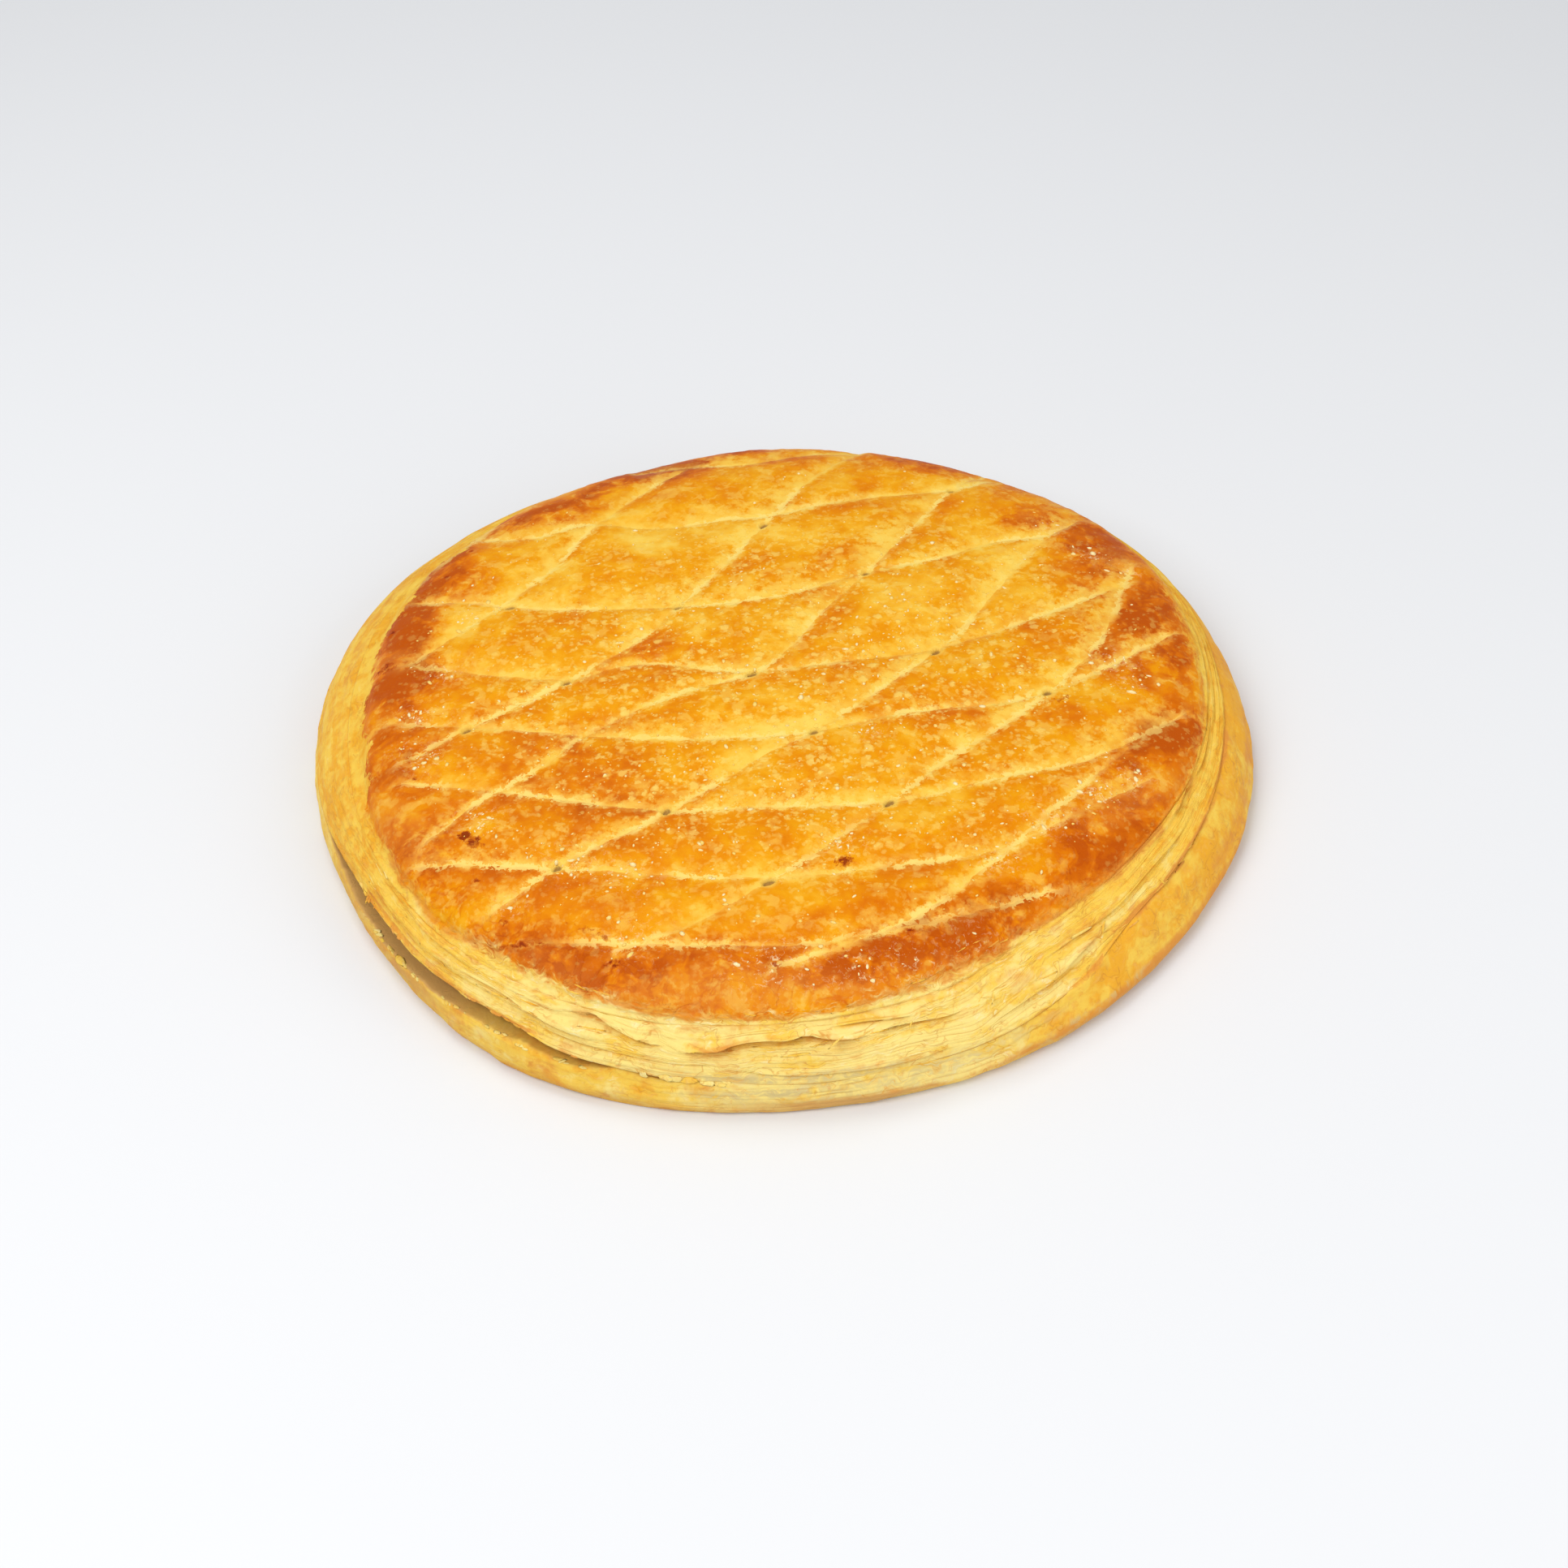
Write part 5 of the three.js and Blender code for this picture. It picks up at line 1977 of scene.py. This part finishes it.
@dataclass
class Flakes:
    """Loose scales and torn bits of leaf that stand off the side."""

    name: str = "leaf_flakes"
    thick: float = 0.10
    seed: int = 91

    def build(self, hosts: tuple[Piece, ...]) -> Piece:
        """Model the flakes on the pieces they grow from.

        Args:
            hosts: The finished lid, side and sheet.

        Returns:
            One piece that holds them all.
        """
        dice = np.random.default_rng(self.seed)
        corners = np.vstack([Workbench.corners(host) for host in hosts]) / METRES
        normals = np.vstack([Workbench.normals(host) for host in hosts])
        outward = np.einsum("ij,ij->i", normals[:, :2], corners[:, :2]) / np.hypot(*corners[:, :2].T).clip(1)
        shown = np.flatnonzero((outward + normals[:, 2] > 0.55) & (np.hypot(*corners[:, :2].T) > 100))
        tree = Workbench.finder(corners, shown)
        bpy.ops.object.select_all(action="DESELECT")
        bpy.ops.mesh.primitive_uv_sphere_add(segments=10, ring_count=5, radius=1)
        piece = Workbench.added(self.name)
        ball = Workbench.corners(piece)[:, [0, 2, 1]] * [1, 1, -1]
        faces = [list(face.vertices) for face in piece.data.polygons]
        placed, joined, tones, toasts, leaves = [], [], [], [], []
        for row in FLAKE_ROWS:
            curve = Stations(row.points)
            first, last = row.points[0][0], row.points[-1][0]
            for _ in range(row.count):
                degrees = dice.uniform(first, last)
                fall = float(curve.at(np.array([degrees]))[0]) + row.strew * dice.normal()
                angle = np.array([radians(degrees)])
                spot = SECTION.flank(angle, np.array([max(fall, 0.0)]))
                radius, height = float(spot[0][0]), float(spot[1][0])
                if fall < 0:
                    radius += fall * SIDE_LENGTH
                    height += 1.5 * min(-fall * 8, 1.0)
                nominal = Vector((radius * cos(angle[0]), radius * sin(angle[0]), height))
                index = tree.find(nominal)[1]
                normal = normals[index]
                along = np.cross([0, 0, 1.0], normal)
                along /= np.linalg.norm(along)
                rise = np.cross(normal, along)
                turn = dice.normal() * 0.09
                along, rise = along * cos(turn) + rise * sin(turn), rise * cos(turn) - along * sin(turn)
                size = np.exp(0.3 * dice.normal())
                ragged = dice.uniform(0.7, 1.25, (len(ball), 1))
                shape = ball * ragged
                lift = row.lift * (0.5 - 0.6 * shape[:, 1:2]) * dice.uniform(0.5, 1.3)
                flat = along * shape[:, :1] * row.long * size + rise * shape[:, 1:2] * row.high * size
                placed.append(corners[index] + flat + normal * (shape[:, 2:] * self.thick + lift - 0.12))
                joined += [[corner + len(ball) * len(tones) for corner in face] for face in faces]
                tones.append(row.tone + 0.3 * dice.normal())
                toasts.append(row.toast * dice.uniform(0.2, 1.5))
                leaves.append(dice.uniform(0, 90))
        Workbench.refill(piece, np.vstack(placed), joined)
        notes = {"tone": tones, "toast": toasts, "leaf": leaves}
        notes.update(dict.fromkeys(("deep", "grey", "hollow"), np.zeros(len(tones))))
        Workbench.note(piece, {name: np.repeat(values, len(ball)) for name, values in notes.items()})
        Workbench.close(piece, 1e-7)
        return piece


@dataclass(frozen=True)
class Studio:
    """A pale floor, soft light and the camera."""

    target: tuple[float, float, float] = (0.735, -26.309, 14.4)
    distance: float = 557.0
    elevation: float = 43.0
    roll: float = -3.0
    lens: float = 50.0
    floor_size: float = 6.0
    floor_colour: Colour = linear(227, 228, 230)
    sky: Colour = linear(250, 252, 255)
    sky_strength: float = 0.54

    def build(self) -> None:
        """Make the floor, the sky, the lamps and the camera."""
        self.floor()
        self.light()
        self.camera()

    def floor(self) -> None:
        """Lay the floor under the pie."""
        bpy.ops.object.select_all(action="DESELECT")
        bpy.ops.mesh.primitive_plane_add(size=self.floor_size, location=(0, 0, -0.0002))
        plane = bpy.context.object
        plane.name = "floor"
        bpy.ops.object.transform_apply(location=True)
        paint = Painter("floor_white")
        cloud = paint.noise(420, 3, 0.5)
        dim = tuple(channel * 0.97 for channel in self.floor_colour)
        paint.wire("Base Color", paint.mix(cloud, dim, self.floor_colour))
        paint.shader.inputs["Roughness"].default_value = 0.8
        plane.data.materials.append(paint.material)

    def lamp(self, name: str, place: Vector, size: float, power: float, colour: Colour) -> None:
        """Hang a square lamp that faces the pie.

        Args:
            name: The lamp's name.
            place: Where it hangs, in metres.
            size: Its side, in metres.
            power: Its power, in watts.
            colour: Its colour.
        """
        data = bpy.data.lights.new(name, "AREA")
        data.shape, data.size, data.energy, data.color = "SQUARE", size, power, colour
        lamp = bpy.data.objects.new(name, data)
        lamp.location = place
        lamp.rotation_euler = (Vector((0, 0, 0.01)) - place).to_track_quat("-Z", "Y").to_euler()
        bpy.context.scene.collection.objects.link(lamp)

    def light(self) -> None:
        """Light the scene softly from the front left and above."""
        world = bpy.data.worlds.new("pale_room")
        world.use_nodes = True
        sky = world.node_tree.nodes["Background"]
        sky.inputs["Color"].default_value = (*self.sky, 1)
        sky.inputs["Strength"].default_value = self.sky_strength
        bpy.context.scene.world = world
        self.lamp("key", Vector((-0.52, -0.5, 0.9)), 0.6, 6.1, (1.0, 0.99, 0.97))
        self.lamp("fill", Vector((0.75, -0.6, 0.45)), 0.8, 4.2, (1.0, 0.99, 0.98))
        self.lamp("top", Vector((-0.25, 0.4, 1.2)), 0.6, 3.8, (1.0, 1.0, 1.0))
        bpy.context.scene.view_settings.view_transform = "Standard"

    def camera(self) -> None:
        """Set the camera where the pie is seen from."""
        data = bpy.data.cameras.new("camera")
        data.lens, data.sensor_width = self.lens, 36.0
        camera = bpy.data.objects.new("camera", data)
        lift = radians(self.elevation)
        target = Vector(self.target)
        spot = target + Vector((0, -cos(lift), sin(lift))) * self.distance
        look = (target - spot).to_track_quat("-Z", "Y").to_matrix().to_4x4()
        place = Matrix.Translation(spot * METRES)
        camera.matrix_world = place @ look @ Matrix.Rotation(radians(self.roll), 4, "Z")
        bpy.context.scene.collection.objects.link(camera)
        bpy.context.scene.camera = camera


def dress(piece: Piece, material: Material) -> None:
    """Give a piece its material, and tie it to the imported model.

    Args:
        piece: The piece.
        material: Its finish.
    """
    piece.data.materials.clear()
    piece.data.materials.append(material)
    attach(piece, "root")
    LOG.info("%s: %d vertices, %d faces", piece.name, len(piece.data.vertices), len(piece.data.polygons))


def main() -> None:
    """Build the pie and the studio."""
    logging.basicConfig(level=logging.INFO, format="%(relativeCreated)d %(name)s: %(message)s")
    crumb = LeafCrumb()
    leaves = crumb.build()
    lid = Lid().build()
    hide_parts("galette")
    dress(lid, LidGlaze(crumb).build())
    side, sheet = LayeredSide().build(), BottomSheet().build()
    for piece in (side, sheet):
        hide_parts("galette")
    for piece in (side, sheet, Flakes().build((lid, side, sheet))):
        dress(piece, leaves)
    dress(Blisters().build(lid), BlisterGlaze().build())
    Studio().build()


if __name__ == "__main__":
    main()
